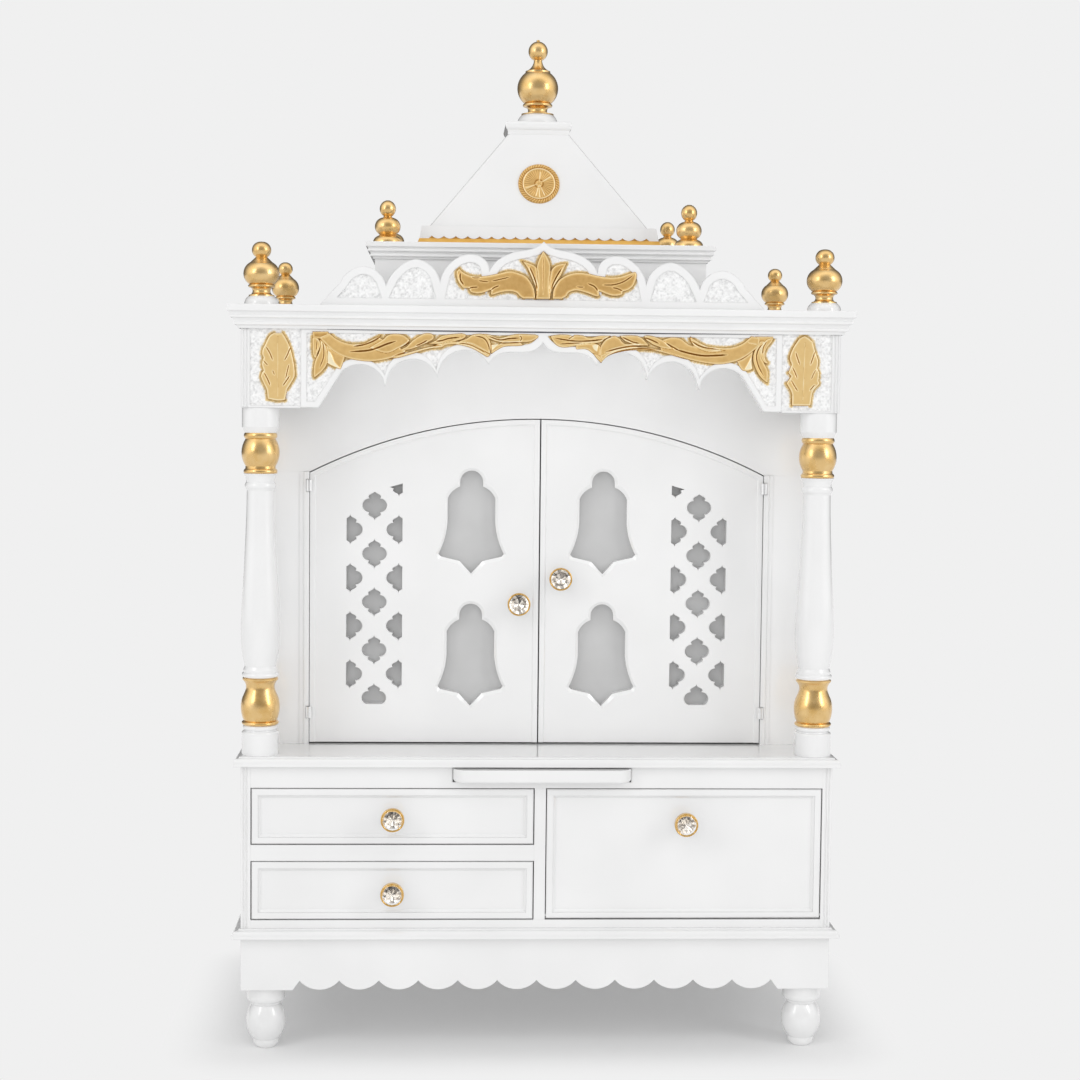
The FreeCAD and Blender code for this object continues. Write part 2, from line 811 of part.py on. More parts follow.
def leaf_outline(side, meet_x, inset, bottom):
    """One arched door leaf, its outer, meeting and top edges moved in by inset."""
    half = door_half_opening - door_side_gap
    rise = door_arch_rise
    radius = (half * half + rise * rise) / (2 * rise)
    centre_z = arch_crown - door_gap - radius
    reach = radius - inset

    def arch_z(x):
        return centre_z + math.sqrt(reach * reach - x * x)

    outer = side * (half - inset)
    inner = meet_x + side * inset
    between = (outer + inner) / 2
    outline = Outline(outer, bottom)
    outline.line(inner, bottom)
    outline.line(inner, arch_z(inner))
    outline.arc(between, arch_z(between), outer, arch_z(outer))
    return outline


def make_doors():
    z0 = counter_top + door_floor_gap
    meets = (door_meeting_shift - door_meeting_gap / 2, door_meeting_shift + door_meeting_gap / 2)
    left_holes = [rimmed_hole(bell, -bell_offset, counter_top + top, bell_rim, bell_rim_depth)
                  for top in (upper_bell_top, lower_bell_top)]
    left_holes += lattice(-lattice_offset)
    right_holes = [mirrored(hole) for hole in left_holes]
    for name, side, meet_x, holes in (("left", -1, meets[0], left_holes),
                                      ("right", 1, meets[1], right_holes)):
        door = leaf_outline(side, meet_x, 0.0, z0).plate(shrine_front, door_thickness)
        field_top = leaf_outline(side, meet_x, door_bead, z0 - 1).wire_at(shrine_front)
        field_foot = leaf_outline(side, meet_x, door_bead + door_bead_slope, z0 - 1)
        field = Part.makeLoft([field_top, field_foot.wire_at(shrine_front + door_field_sink)], True, True)
        save(name + "_door", door.cut([field] + holes))
        save(name + "_door_screen", door_screen(side))
    field_y = shrine_front + door_field_sink
    make_knob("left_door", meets[0] - door_knob_inset, field_y, counter_top + left_knob_height,
              knob_reach)
    make_knob("right_door", meets[1] + door_knob_inset, field_y, counter_top + right_knob_height,
              knob_reach)
    barrels = [hinge_barrel(x, z, hinge_length, 0.0)
               for x in (-door_half_opening, door_half_opening) for z in hinge_feet()]
    save("hinge_barrels", *barrels)


def door_screen(side):
    """The frosted sheet on the back of a leaf, wide enough to back every piercing."""
    outer = side * (lattice_offset + lattice_half_width + screen_margin)
    inner = side * (bell_offset - bell_flare - screen_margin)
    back_y = shrine_front + door_thickness
    sheet = block(min(outer, inner), max(outer, inner), back_y, back_y + screen_thickness,
                  counter_top + lattice_bottom - screen_margin, arch_crown)
    limit = arch_outline(door_half_opening - screen_margin, arch_spring, arch_crown - 2 * screen_margin,
                         counter_top)
    return sheet.common(limit.plate(shrine_front, 2 * door_thickness))


def both_halves(half, y, thickness):
    """A board that is the same to both sides of the middle, from the outline of its right half."""
    board = half.plate(y, thickness)
    return board.fuse(mirrored(board)).removeSplitter()


def valance_half():
    """Right half of the canopy front: pointed middle, stepped lobes, then a raking foot."""
    inner = half_width - corner_block
    span = inner - valance_flat
    low = frieze_bottom + 1.0
    outline = Outline(0, low + 81.8)
    outline.curve((0.048 * span, low + 71.2), (0.155 * span, low + 69.5), (0.242 * span, low + 54.8))
    outline.arc(0.346 * span, low + 71.5, 0.469 * span, low + 37.5)
    outline.arc(0.575 * span, low + 60.0, 0.696 * span, low + 35.5)
    outline.line(0.706 * span, low + 26.3)
    outline.line(0.716 * span, low + 36.5)
    outline.arc(0.82 * span, low + 52.8, 0.9 * span, low + 43.6)
    outline.line(span, low)
    outline.line(inner, low)
    outline.line(inner, cornice_bottom)
    outline.line(0, cornice_bottom)
    return outline


def valance_ground():
    """The right-hand field inside the raised border of the canopy front."""
    inner = half_width - corner_block
    span = inner - valance_flat
    low = frieze_bottom + 1.0
    top = cornice_bottom - valance_rail
    outline = Outline(0.02 * span, top)
    outline.curve((0.062 * span, low + 80.0), (0.155 * span, low + 77.0), (0.246 * span, low + 64.0))
    outline.arc(0.352 * span, low + 79.5, 0.476 * span, low + 47.5)
    outline.arc(0.59 * span, low + 68.5, 0.706 * span, low + 40.0)
    outline.arc(0.815 * span, low + 60.0, 0.923 * span, low + 47.6)
    outline.line(span + 0.6 * valance_border, low + valance_border)
    outline.line(inner - valance_border, low + valance_border)
    outline.line(inner - valance_border, top)
    outline.line(0.02 * span, top)
    return outline


def make_canopy():
    valance = both_halves(valance_half(), front, canopy_board)
    field = valance_ground().plate(front, carved_ground)
    valance = valance.cut(field).cut(mirrored(field))
    save("front_valance", valance)
    inner = half_width - corner_block
    post = 2 * column_inset
    corner = block(inner, half_width, front, front + canopy_board, frieze_bottom, cornice_bottom)
    corner = corner.fuse(block(half_width - post, half_width, front, front + post, frieze_bottom,
                               cornice_bottom)).removeSplitter()
    corner = corner.cut(edge_flutes(frieze_bottom, cornice_bottom))
    corner = corner.cut(block(inner - 1, half_width - plaque_margin, front - 1, front + carved_ground,
                              frieze_bottom + plaque_rail, cornice_bottom + 1))
    save("corner_blocks", corner, mirrored(corner))
    side = block(half_width - canopy_board, half_width, front + post, shrine_front, frieze_bottom,
                 cornice_bottom)
    save("side_friezes", side, mirrored(side))
    cornice = moulded_slab(body_width, front, back, cornice_bottom,
                           cornice_edge(cornice_projection, cornice_height), False)
    inside = half_width - canopy_board
    inside_front = front + canopy_board
    inside_back = back - back_thickness
    save("main_cornice", cornice.cut(block(-inside, inside, inside_front, inside_back,
                                           cornice_bottom - 1, cornice_top + 1)))
    save("canopy_boards",
         block(-inside, inside, inside_front, inside_back, cornice_bottom,
               cornice_bottom + ceiling_board),
         block(-inside, inside, inside_front, inside_back, cornice_top - ceiling_board, cornice_top))
    return valance, corner


def sunk_ground(board, y, border):
    """The space inside a board's raised border, where the ground is cut back for carving."""
    front_faces = [face for face in board.Faces if face.BoundBox.YMax < y + 0.01]
    points = []
    for edge in front_faces[0].OuterWire.OrderedEdges:
        straight = isinstance(edge.Curve, Part.Line)
        steps = edge.discretize(Number=2 if straight else lobe_steps)
        if edge.Orientation == "Reversed":
            steps.reverse()
        points += steps[:-1]
    ground = Part.Face(Part.makePolygon(points + points[:1])).makeOffset2D(-border, 2)
    return ground.extrude(V(0, carved_ground, 0))


def crest_half():
    """Right half of the crest: a pointed middle and falling lobes between sharp valleys."""
    base = cornice_top
    span = half_width - crest_inset
    outline = Outline(0, base)
    outline.line(span, base)
    outline.line(0.907 * span, base + 27.4)
    outline.curve((0.869 * span, base + 40.7), (0.799 * span, base + 47.5), (0.748 * span, base + 42.4),
                  (0.704 * span, base + 23.4))
    outline.curve((0.642 * span, base + 48.0), (0.569 * span, base + 56.7), (0.507 * span, base + 49.8),
                  (0.462 * span, base + 26.4))
    outline.curve((0.405 * span, base + 55.5), (0.328 * span, base + 63.6), (0.269 * span, base + 58.6),
                  (0.244 * span, base + 41.6))
    outline.curve((0.196 * span, base + 58.8), (0.119 * span, base + 67.5), (0.051 * span, base + 71.2),
                  (0, base + 80.1))
    return outline


def finial(x, y, z, across, up):
    """A gilt urn finial: flared foot, ring, onion bulb, neck and ball."""
    turning = Turning(15.6, 0.0, across, up)
    turning.line(15.4, 1.6)
    turning.arc(10.9, 7.2, 15.2, 10.9)
    turning.arc(16.2, 12.4, 14.4, 14.2)
    turning.arc(21.9, 28.0, 13.6, 41.2)
    turning.line(7.0, 47.4)
    turning.arc(11.7, 56.0, 3.0, 66.0)
    return turning.solid(x, y, z)


def small_finial(x, y, z):
    """A lesser gilt finial for the upper tier: bell foot, round bulb, neck and ball."""
    turning = Turning(18.5)
    turning.arc(16.8, 5.2, 11.5, 9.0)
    turning.line(10.0, 10.4)
    turning.arc(16.0, 21.3, 6.0, 31.6)
    turning.line(5.0, 33.2)
    turning.arc(10.1, 43.0, 2.5, 52.8)
    return turning.solid(x, y, z)


def top_finial(z):
    turning = Turning(21.3)
    turning.line(21.0, 1.2)
    turning.arc(12.9, 7.5, 18.4, 10.6)
    turning.arc(19.3, 12.2, 16.4, 14.4)
    turning.arc(26.7, 33.8, 16.4, 54.4)
    turning.line(16.2, 56.6)
    turning.arc(8.0, 62.8, 5.3, 70.8)
    turning.arc(12.6, 82.6, 2.4, 95.0)
    turning.line(2.0, 97.0)
    return turning.solid(0, axis_y, z)


def pedestal(x, y, z, radius, height):
    """A low white cushion under a finial."""
    turning = Turning(radius)
    turning.arc(0.94 * radius, 0.6 * height, 0.76 * radius, height)
    return turning.solid(x, y, z)


def frustum(half_x, half_y, low, high, z0, z1):
    """A solid whose plan grows past half_x and half_y by low at its foot and by high at its top."""
    return Part.makeLoft([level_rectangle(half_x + low, half_y + low, z0),
                          level_rectangle(half_x + high, half_y + high, z1)], True, True)


def level_rectangle(half_x, half_y, z):
    points = [V(-half_x, axis_y - half_y, z), V(half_x, axis_y - half_y, z),
              V(half_x, axis_y + half_y, z), V(-half_x, axis_y + half_y, z)]
    return Part.makePolygon(points + points[:1])


def eased_rectangle(half_x, half_y, z):
    """A level rectangle about the roof's axis with its corners eased to a small radius."""
    x = half_x - hip_round
    y = half_y - hip_round
    ease = hip_round * math.sqrt(0.5)
    edges = []
    for quarter in range(4):
        way_x, way_y = ((1, 1), (-1, 1), (-1, -1), (1, -1))[quarter]
        ends = [V(way_x * half_x, axis_y + way_y * y, z), V(way_x * x, axis_y + way_y * half_y, z)]
        if way_x * way_y < 0:
            ends.reverse()
        through = V(way_x * (x + ease), axis_y + way_y * (y + ease), z)
        edges.append(Part.Arc(ends[0], through, ends[1]).toShape())
    corners = [(edge.Vertexes[0].Point, edge.Vertexes[-1].Point) for edge in edges]
    sides = [Part.makeLine(corners[i][1], corners[(i + 1) % 4][0]) for i in range(4)]
    return Part.Wire([run for pair in zip(edges, sides) for run in pair])


def make_roof_base(half_x, half_y):
    """The roof's plinth: a white fascia with a scalloped lower edge over a flared gilt border."""
    z = tier_cornice_top
    border_top = z + roof_border_height
    gap_top = border_top + roof_scallop_rise + 1.0
    core = frustum(half_x, half_y, 0.0, 0.0, z, roof_base_top)
    shell = frustum(half_x, half_y, roof_fascia_reach, roof_fascia_head, border_top, roof_base_top)
    lobed = []
    for length in (2 * (half_x + roof_fascia_reach), 2 * (half_y + roof_fascia_reach)):
        lobed.append(scalloped(length, border_top, roof_base_top, roof_corner, roof_lead, roof_scallop,
                               roof_scallop_rise, 0.0).plate(-body_width / 2, body_width))
    lobed[0].translate(V(0, axis_y, 0))
    lobed[1].rotate(V(0, 0, 0), V(0, 0, 1), 90)
    lobed[1].translate(V(0, axis_y, 0))
    shell = shell.common(lobed[0]).common(lobed[1])
    backing = frustum(half_x, half_y, roof_backing, roof_backing, z, gap_top)
    backing = backing.cut(core)
    save("roof_base", core.fuse(shell).cut(backing))
    flare = frustum(half_x, half_y, roof_border_reach, roof_fascia_reach, z, border_top)
    save("roof_border", flare.cut(core).fuse(backing).removeSplitter())


def make_roof(half_x, half_y):
    x_top = half_x - pyramid_lean
    y_top = half_y - pyramid_front_lean
    save("roof_pyramid", Part.makeLoft([eased_rectangle(half_x, half_y, roof_base_top),
                                        eased_rectangle(x_top, y_top, pyramid_top)], True, True))
    edge = Edge(0.0)
    edge.line(0.0, cap_cove / 2)
    nose = cap_overhang - cap_round
    edge.arc(0.3 * nose, 1.5 * cap_cove, nose, 2 * cap_cove)
    edge.arc(cap_overhang, cap_cove + cap_height / 2, nose, cap_height)
    save("roof_cap", moulded_slab(2 * x_top, axis_y - y_top, axis_y + y_top, pyramid_top, edge, True))
    lean = math.degrees(math.atan2(pyramid_front_lean, pyramid_height))
    rim = medallion_diameter / 2
    disc = Turning(rim)
    disc.line(rim, 0.4 * medallion_thickness)
    disc.arc(rim - medallion_rim / 2, medallion_thickness, rim - medallion_rim, 0.5 * medallion_thickness)
    disc.line(0.24 * rim, 0.4 * medallion_thickness)
    disc.arc(0.17 * rim, 0.85 * medallion_thickness, 0.04 * rim, medallion_thickness)
    medal = disc.solid(0, 0, 0)
    medal.rotate(V(0, 0, 0), V(1, 0, 0), 90 - lean)
    medal_y = axis_y - half_y + medallion_height * math.tan(math.radians(lean))
    medal.translate(V(0, medal_y, roof_base_top + medallion_height))
    save("roof_medallion", medal)


def make_crown():
    crest = both_halves(crest_half(), front + 2.0, crest_thickness)
    crest = crest.cut(sunk_ground(crest, front + 2.0, crest_border))
    save("front_crest", crest)
    tier_x = tier_width / 2
    tier_y = tier_depth / 2
    tier = frustum(tier_x, tier_y, 0.0, 0.0, cornice_top, tier_top)
    hollow = frustum(tier_x, tier_y, -tier_wall, -tier_wall, cornice_top - 1, tier_top + 1)
    save("upper_tier", tier.cut(hollow))
    save("upper_cornice", moulded_slab(tier_width, axis_y - tier_y, axis_y + tier_y, tier_top,
                                       cornice_edge(tier_cornice_projection, tier_cornice_height), True))
    roof_x = roof_base_width / 2
    roof_y = tier_y - (tier_x - roof_x)
    make_roof_base(roof_x, roof_y)
    make_roof(roof_x - pyramid_margin, roof_y - pyramid_margin)
    main_x = half_width + cornice_projection - finial_margin
    back_scale = back_finial_width / front_finial_width
    main_front = front - cornice_projection + finial_margin
    main_back = back - finial_margin
    upper_x = tier_x + tier_cornice_projection - small_finial_margin
    upper_y = tier_y + tier_cornice_projection - small_finial_margin
    pedestals = []
    finials = []
    for side in (-1, 1):
        x = side * main_x + finial_shift
        pedestals.append(pedestal(x, main_front, cornice_top, pedestal_radius, pedestal_height))
        pedestals.append(pedestal(x, main_back, cornice_top, pedestal_radius, back_pedestal_height))
        finials.append(finial(x, main_front, cornice_top + pedestal_height, 1.0, 1.0))
        finials.append(finial(x, main_back, cornice_top + back_pedestal_height, back_scale,
                              back_finial_height / front_finial_height))
        for y in (axis_y - upper_y, axis_y + upper_y):
            finials.append(small_finial(side * upper_x + small_finial_shift, y, tier_cornice_top))
    pedestals.append(pedestal(0, axis_y, cap_top, top_pedestal_radius, top_pedestal_height))
    save("finial_pedestals", *pedestals)
    save("finials", *finials)
    save("top_finial", top_finial(cap_top + top_pedestal_height))
    return crest


def leaf_plaque():
    """An upright acanthus leaf on the corner block: flat foot, lobed sides, rounded head."""
    middle_x = half_width - (corner_block + plaque_margin) / 2
    foot_z = frieze_bottom + 8.0
    height = frieze_height - 12.0
    outline = Outline(middle_x - 10.5, foot_z)
    outline.line(middle_x + 10.5, foot_z)
    outline.curve((middle_x + 13.5, foot_z + 0.13 * height), (middle_x + 20.5, foot_z + 0.29 * height),
                  (middle_x + 19.6, foot_z + 0.66 * height), (middle_x + 6.5, foot_z + height))
    outline.line(middle_x - 6.5, foot_z + height)
    outline.curve((middle_x - 19.6, foot_z + 0.66 * height), (middle_x - 20.5, foot_z + 0.29 * height),
                  (middle_x - 13.5, foot_z + 0.13 * height), (middle_x - 10.5, foot_z))
    return outline.plate(front - carving_proud, carving_proud + carved_ground)


def swag():
    """Right acanthus swag of the valance: a leaf hanging at the corner and a stem rising inward."""
    top = cornice_bottom - 5.0
    span = half_width - corner_block
    outline = Outline(0.965 * span, top)
    outline.line(0.955 * span, top - 50.0)
    outline.line(0.88 * span, top - 38.0)
    outline.line(0.83 * span, top - 24.0)
    outline.curve((0.71 * span, top - 29.0), (0.56 * span, top - 19.0), (0.39 * span, top - 13.0),
                  (0.22 * span, top - 22.0))
    outline.curve((0.15 * span, top - 11.0), (0.03 * span, top - 5.0))
    outline.curve((0.15 * span, top - 0.5), (0.46 * span, top - 2.0), (0.69 * span, top - 4.0))
    outline.curve((0.8 * span, top - 9.0), (0.91 * span, top))
    return outline.plate(front - carving_proud, carving_proud + carved_ground)


def crest_leaves():
    """The carving of the crest: a lotus bud between two wings that curl up at their tips."""
    base = cornice_top + 10.0
    outline = Outline(22.0, base + 1.0)
    outline.curve((45.0, base + 9.0), (75.0, base + 5.0), (100.0, base + 13.0), (107.0, base + 34.0))
    outline.curve((80.0, base + 27.0), (50.0, base + 31.0), (27.0, base + 26.0))
    outline.line(27.0, base + 44.0)
    outline.line(11.0, base + 36.0)
    outline.line(0.0, base + 56.0)
    outline.line(0.0, base + 1.0)
    return outline


def make_carving(valance, corner, crest):
    plaque = leaf_plaque().cut(corner)
    right_swag = swag().cut(valance)
    save("valance_carving", plaque, mirrored(plaque), right_swag, mirrored(right_swag))
    carving = both_halves(crest_leaves(), front + 2.0 - carving_proud, carving_proud + carved_ground)
    save("crest_carving", carving.cut(crest))


make_base()
make_cabinet()
make_drawer("lower", opening_bottom, middle_rail_bottom)
make_drawer("upper", middle_rail_top, opening_top)
make_flap()
make_tray()
make_counter()
make_columns()
make_shrine()
make_doors()
front_valance, corner_block_right = make_canopy()
front_crest = make_crown()
make_carving(front_valance, corner_block_right, front_crest)
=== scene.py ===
import bpy
import json
import math
import numpy as np
from mathutils import Matrix, Vector


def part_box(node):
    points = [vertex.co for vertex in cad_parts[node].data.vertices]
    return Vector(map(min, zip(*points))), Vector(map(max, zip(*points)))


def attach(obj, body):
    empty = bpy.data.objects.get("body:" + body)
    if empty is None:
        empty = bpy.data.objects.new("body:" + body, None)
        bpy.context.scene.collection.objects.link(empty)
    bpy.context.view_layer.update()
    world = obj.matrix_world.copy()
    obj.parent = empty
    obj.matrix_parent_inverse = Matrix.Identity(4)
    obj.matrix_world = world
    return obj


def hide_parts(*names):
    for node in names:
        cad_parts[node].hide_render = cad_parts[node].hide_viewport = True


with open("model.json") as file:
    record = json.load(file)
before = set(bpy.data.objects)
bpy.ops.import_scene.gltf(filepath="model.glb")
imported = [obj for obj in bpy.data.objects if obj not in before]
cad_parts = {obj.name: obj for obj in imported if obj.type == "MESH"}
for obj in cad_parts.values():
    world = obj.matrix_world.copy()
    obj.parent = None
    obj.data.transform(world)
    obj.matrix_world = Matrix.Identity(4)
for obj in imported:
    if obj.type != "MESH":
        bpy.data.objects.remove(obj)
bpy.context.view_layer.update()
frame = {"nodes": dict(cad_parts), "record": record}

# Sizes of the carver's and gilder's work, in millimetres
mm = 0.001
carving_step = 0.6
ground_step = 0.75
leaf_wall = 1.5
rim_round = 1.3
dish_depth = 0.45
gouge_depth = 1.5
gouge_half = 0.95
punch_pitch = 2.6
punch_depth = 0.9
dust_reach = 4.0
field_sunk = 2.0
ground_skin = 0.12
seam_ends = (-262, 264)
# How many of each go round or along
crystal_facets = 16
rope_turns = 44
fan_flutes = 36
seam_steps = 90
# The backdrop, and how strong the light from all round is on matt and in the gloss
studio_white = "#F0F0F0"
room_light = 0.64
gloss_light = 1.4


def linear(hex_colour):
    """An sRGB hex colour as the linear RGBA that shader sockets take."""
    parts = [int(hex_colour[i:i + 2], 16) / 255 for i in (1, 3, 5)]
    parts = [c / 12.92 if c <= 0.04045 else ((c + 0.055) / 1.055) ** 2.4 for c in parts]
    return (*parts, 1.0)


def add(tree, kind, settings=None, **links):
    """Add a shader node; each link gives a socket its value or the socket that feeds it."""
    made = tree.nodes.new("ShaderNode" + kind)
    for name, value in (settings or {}).items():
        setattr(made, name, value)
    for name, value in links.items():
        key = int(name[2:]) if name.startswith("in") and name[2:].isdigit() else name.replace("_", " ")
        if isinstance(value, bpy.types.NodeSocket):
            tree.links.new(value, made.inputs[key])
        else:
            made.inputs[key].default_value = value
    return made


def finish(name, **shader_values):
    """A new material whose one shader takes these plain values."""
    made = bpy.data.materials.new(name)
    made.use_nodes = True
    shader = made.node_tree.nodes["Principled BSDF"]
    for socket, value in shader_values.items():
        shader.inputs[socket.replace("_", " ")].default_value = value
    return made, made.node_tree, shader


def ramp(tree, factor, *stops):
    """A colour ramp through (place, hex colour) stops."""
    made = add(tree, "ValToRGB", Fac=factor)
    elements = made.color_ramp.elements
    for place, colour in stops[2:]:
        elements.new(place)
    for element, (place, colour) in zip(elements, sorted(stops)):
        element.position = place
        element.color = linear(colour)
    return made.outputs["Color"]


def white_enamel(name, corner_round):
    """Sprayed white enamel lacquer on board and turned wood.

    It gives a bright gloss, corners softened by the thick coat, and a faint orange peel."""
    made, tree, shader = finish(name, Roughness=0.2, Coat_Weight=0.8, Coat_Roughness=0.08)
    place = add(tree, "TexCoord").outputs["Object"]
    shade = add(tree, "TexNoise", Vector=place, Scale=9.0, Detail=2.0)
    colour = ramp(tree, shade.outputs["Fac"], (0.3, "#ECECEC"), (0.7, "#F1F1F1"))
    tree.links.new(colour, shader.inputs["Base Color"])
    peel = add(tree, "TexNoise", Vector=place, Scale=420.0, Detail=1.0)
    soft = add(tree, "Bevel", {"samples": 6}, Radius=corner_round * mm)
    bump = add(tree, "Bump", Strength=0.05, Distance=0.1 * mm, Height=peel.outputs["Fac"],
               Normal=soft.outputs["Normal"])
    tree.links.new(bump.outputs["Normal"], shader.inputs["Normal"])
    return made


def stippled_enamel():
    """The same enamel on the punched ground behind the carving.

    The punch marks keep it duller and their pits are painted greyer as painted shade, and gold paint has
    drifted onto it beside the leaves."""
    made, tree, shader = finish("stippled_enamel", Roughness=0.42)
    place = add(tree, "TexCoord").outputs["Object"]
    drift = add(tree, "Attribute", {"attribute_name": "gold_drift"}).outputs["Fac"]
    specks = add(tree, "TexNoise", Vector=place, Scale=700.0, Detail=3.0).outputs["Fac"]
    cover = add(tree, "Math", {"operation": "MULTIPLY_ADD"}, in0=specks, in1=0.9, in2=drift)
    amount = add(tree, "MapRange", Value=cover.outputs[0], From_Min=0.62, From_Max=1.15)
    paint = ramp(tree, amount.outputs[0], (0.0, "#FFFFFF"), (0.45, "#FAE8C2"), (1.0, "#E8C680"))
    # Painted shade: the enamel goes greyer the lower a point lies in the punch marks.
    depth = add(tree, "Attribute", {"attribute_name": "pit_shade"}).outputs["Fac"]
    white = ramp(tree, depth, (0.0, "#D2D2D2"), (0.35, "#E8E8E8"), (1.0, "#F6F6F6"))
    colour = add(tree, "Mix", {"data_type": "RGBA", "blend_type": "MULTIPLY"}, in0=1.0, in6=white,
                 in7=paint)
    tree.links.new(colour.outputs[2], shader.inputs["Base Color"])
    grain = add(tree, "TexNoise", Vector=place, Scale=900.0, Detail=2.0)
    bump = add(tree, "Bump", Strength=0.35, Distance=0.2 * mm, Height=grain.outputs["Fac"])
    tree.links.new(bump.outputs["Normal"], shader.inputs["Normal"])
    return made


def gold_paint():
    """Satin gold paint brushed over carved wood, with painted shade and painted highlight laid into its
    colour.

    The colour is darker in the cuts, in dished leaves and at the leaf edges as painted shade, and paler
    along the rounded rims as painted highlight. The metal flake gives a soft glow."""
    made, tree, shader = finish("gold_paint", Metallic=0.45, Roughness=0.38)
    place = add(tree, "TexCoord").outputs["Object"]
    tone = add(tree, "Attribute", {"attribute_name": "rubbed"}).outputs["Fac"]
    brush = add(tree, "TexNoise", Vector=place, Scale=160.0, Detail=3.0).outputs["Fac"]
    mixed = add(tree, "Math", {"operation": "MULTIPLY_ADD"}, in0=brush, in1=0.16, in2=tone)
    level = add(tree, "Math", {"operation": "SUBTRACT"}, in0=mixed.outputs[0], in1=0.08)
    # The ramp runs from painted shade in the cuts to painted highlight on the rims.
    colour = ramp(tree, level.outputs[0], (0.0, "#7A4C12"), (0.25, "#AE7A2C"), (0.5, "#E3BC79"),
                  (0.72, "#EECF92"), (1.0, "#FFF3D0"))
    tree.links.new(colour, shader.inputs["Base Color"])
    grain = add(tree, "TexNoise", Vector=place, Scale=520.0, Detail=2.0)
    bump = add(tree, "Bump", Strength=0.18, Distance=0.12 * mm, Height=grain.outputs["Fac"])
    tree.links.new(bump.outputs["Normal"], shader.inputs["Normal"])
    return made


def border_gold():
    """The same gold paint on the plain scalloped border of the roof.

    Without cuts to hold it, the paint lies even, a little paler along the rounded edges."""
    made, tree, shader = finish("border_gold", Metallic=0.35, Roughness=0.4)
    place = add(tree, "TexCoord").outputs["Object"]
    brush = add(tree, "TexNoise", Vector=place, Scale=60.0, Detail=4.0).outputs["Fac"]
    colour = ramp(tree, brush, (0.25, "#DBA347"), (0.75, "#EDBE66"))
    tree.links.new(colour, shader.inputs["Base Color"])
    soft = add(tree, "Bevel", {"samples": 4}, Radius=0.7 * mm)
    grain = add(tree, "TexNoise", Vector=place, Scale=480.0, Detail=2.0)
    bump = add(tree, "Bump", Strength=0.12, Distance=0.1 * mm, Height=grain.outputs["Fac"],
               Normal=soft.outputs["Normal"])
    tree.links.new(bump.outputs["Normal"], shader.inputs["Normal"])
    return made


def gilt_turning():
    """Metallic gold leaf paint on turned wood, burnished on the lathe.

    It mirrors the lamps as soft bands, broken a little by the fine turning lines."""
    made, tree, shader = finish("gilt_turning", Metallic=1.0, Coat_Weight=0.6, Coat_Roughness=0.22)
    place = add(tree, "TexCoord").outputs["Object"]
    patch = add(tree, "TexNoise", Vector=place, Scale=70.0, Detail=4.0).outputs["Fac"]
    colour = ramp(tree, patch, (0.3, "#DEB46C"), (0.7, "#F0CD90"))
    tree.links.new(colour, shader.inputs["Base Color"])
    dull = add(tree, "MapRange", Value=patch, To_Min=0.22, To_Max=0.33)
    tree.links.new(dull.outputs[0], shader.inputs["Roughness"])
    stretch = add(tree, "Mapping", Vector=place, Scale=(40.0, 40.0, 900.0))
    lines = add(tree, "TexNoise", Vector=stretch.outputs[0], Scale=1.0, Detail=2.0)
    bump = add(tree, "Bump", Strength=0.1, Distance=0.1 * mm, Height=lines.outputs["Fac"])
    tree.links.new(bump.outputs["Normal"], shader.inputs["Normal"])
    return made


def polished_brass():
    """Spun and lacquered brass of the knob cups, bright with a hair of polishing haze."""
    made, tree, shader = finish("polished_brass", Metallic=1.0)
    place = add(tree, "TexCoord").outputs["Object"]
    haze = add(tree, "TexNoise", Vector=place, Scale=350.0, Detail=3.0).outputs["Fac"]
    colour = ramp(tree, haze, (0.3, "#CFA04E"), (0.7, "#E6C283"))
    tree.links.new(colour, shader.inputs["Base Color"])
    dull = add(tree, "MapRange", Value=haze, To_Min=0.12, To_Max=0.22)
    tree.links.new(dull.outputs[0], shader.inputs["Roughness"])
    return made


def cut_crystal():
    """Clear lead crystal, ground and polished in flat facets."""
    made, tree, shader = finish("cut_crystal", IOR=1.54, Transmission_Weight=1.0)
    shader.inputs["Base Color"].default_value = linear("#FFFDFA")
    place = add(tree, "TexCoord").outputs["Object"]
    wipe = add(tree, "TexNoise", Vector=place, Scale=500.0).outputs["Fac"]
    dull = add(tree, "MapRange", Value=wipe, To_Min=0.0, To_Max=0.03)
    tree.links.new(dull.outputs[0], shader.inputs["Roughness"])
    return made


def silver_foil():
    """Vacuum plated silver behind the crystal, which throws the light back through its facets.

    Each facet's base colour is set bright or dark at random as a painted reflection of the room."""
    made, tree, shader = finish("silver_foil", Metallic=1.0)
    place = add(tree, "TexCoord").outputs["Object"]
    wrinkle = add(tree, "TexNoise", Vector=place, Scale=260.0, Detail=2.0).outputs["Fac"]
    # Painted reflection: a brightness per facet, chosen when the foil is built.
    painted_reflection = add(tree, "Attribute", {"attribute_name": "painted_reflection"}).outputs["Fac"]
    colour = ramp(tree, painted_reflection, (0.0, "#5A5652"), (0.45, "#C0BBB6"), (0.75, "#F6F3EE"), (1.0, "#FFFFFF"))
    tree.links.new(colour, shader.inputs["Base Color"])
    dull = add(tree, "MapRange", Value=wrinkle, To_Min=0.05, To_Max=0.16)
    tree.links.new(dull.outputs[0], shader.inputs["Roughness"])
    return made


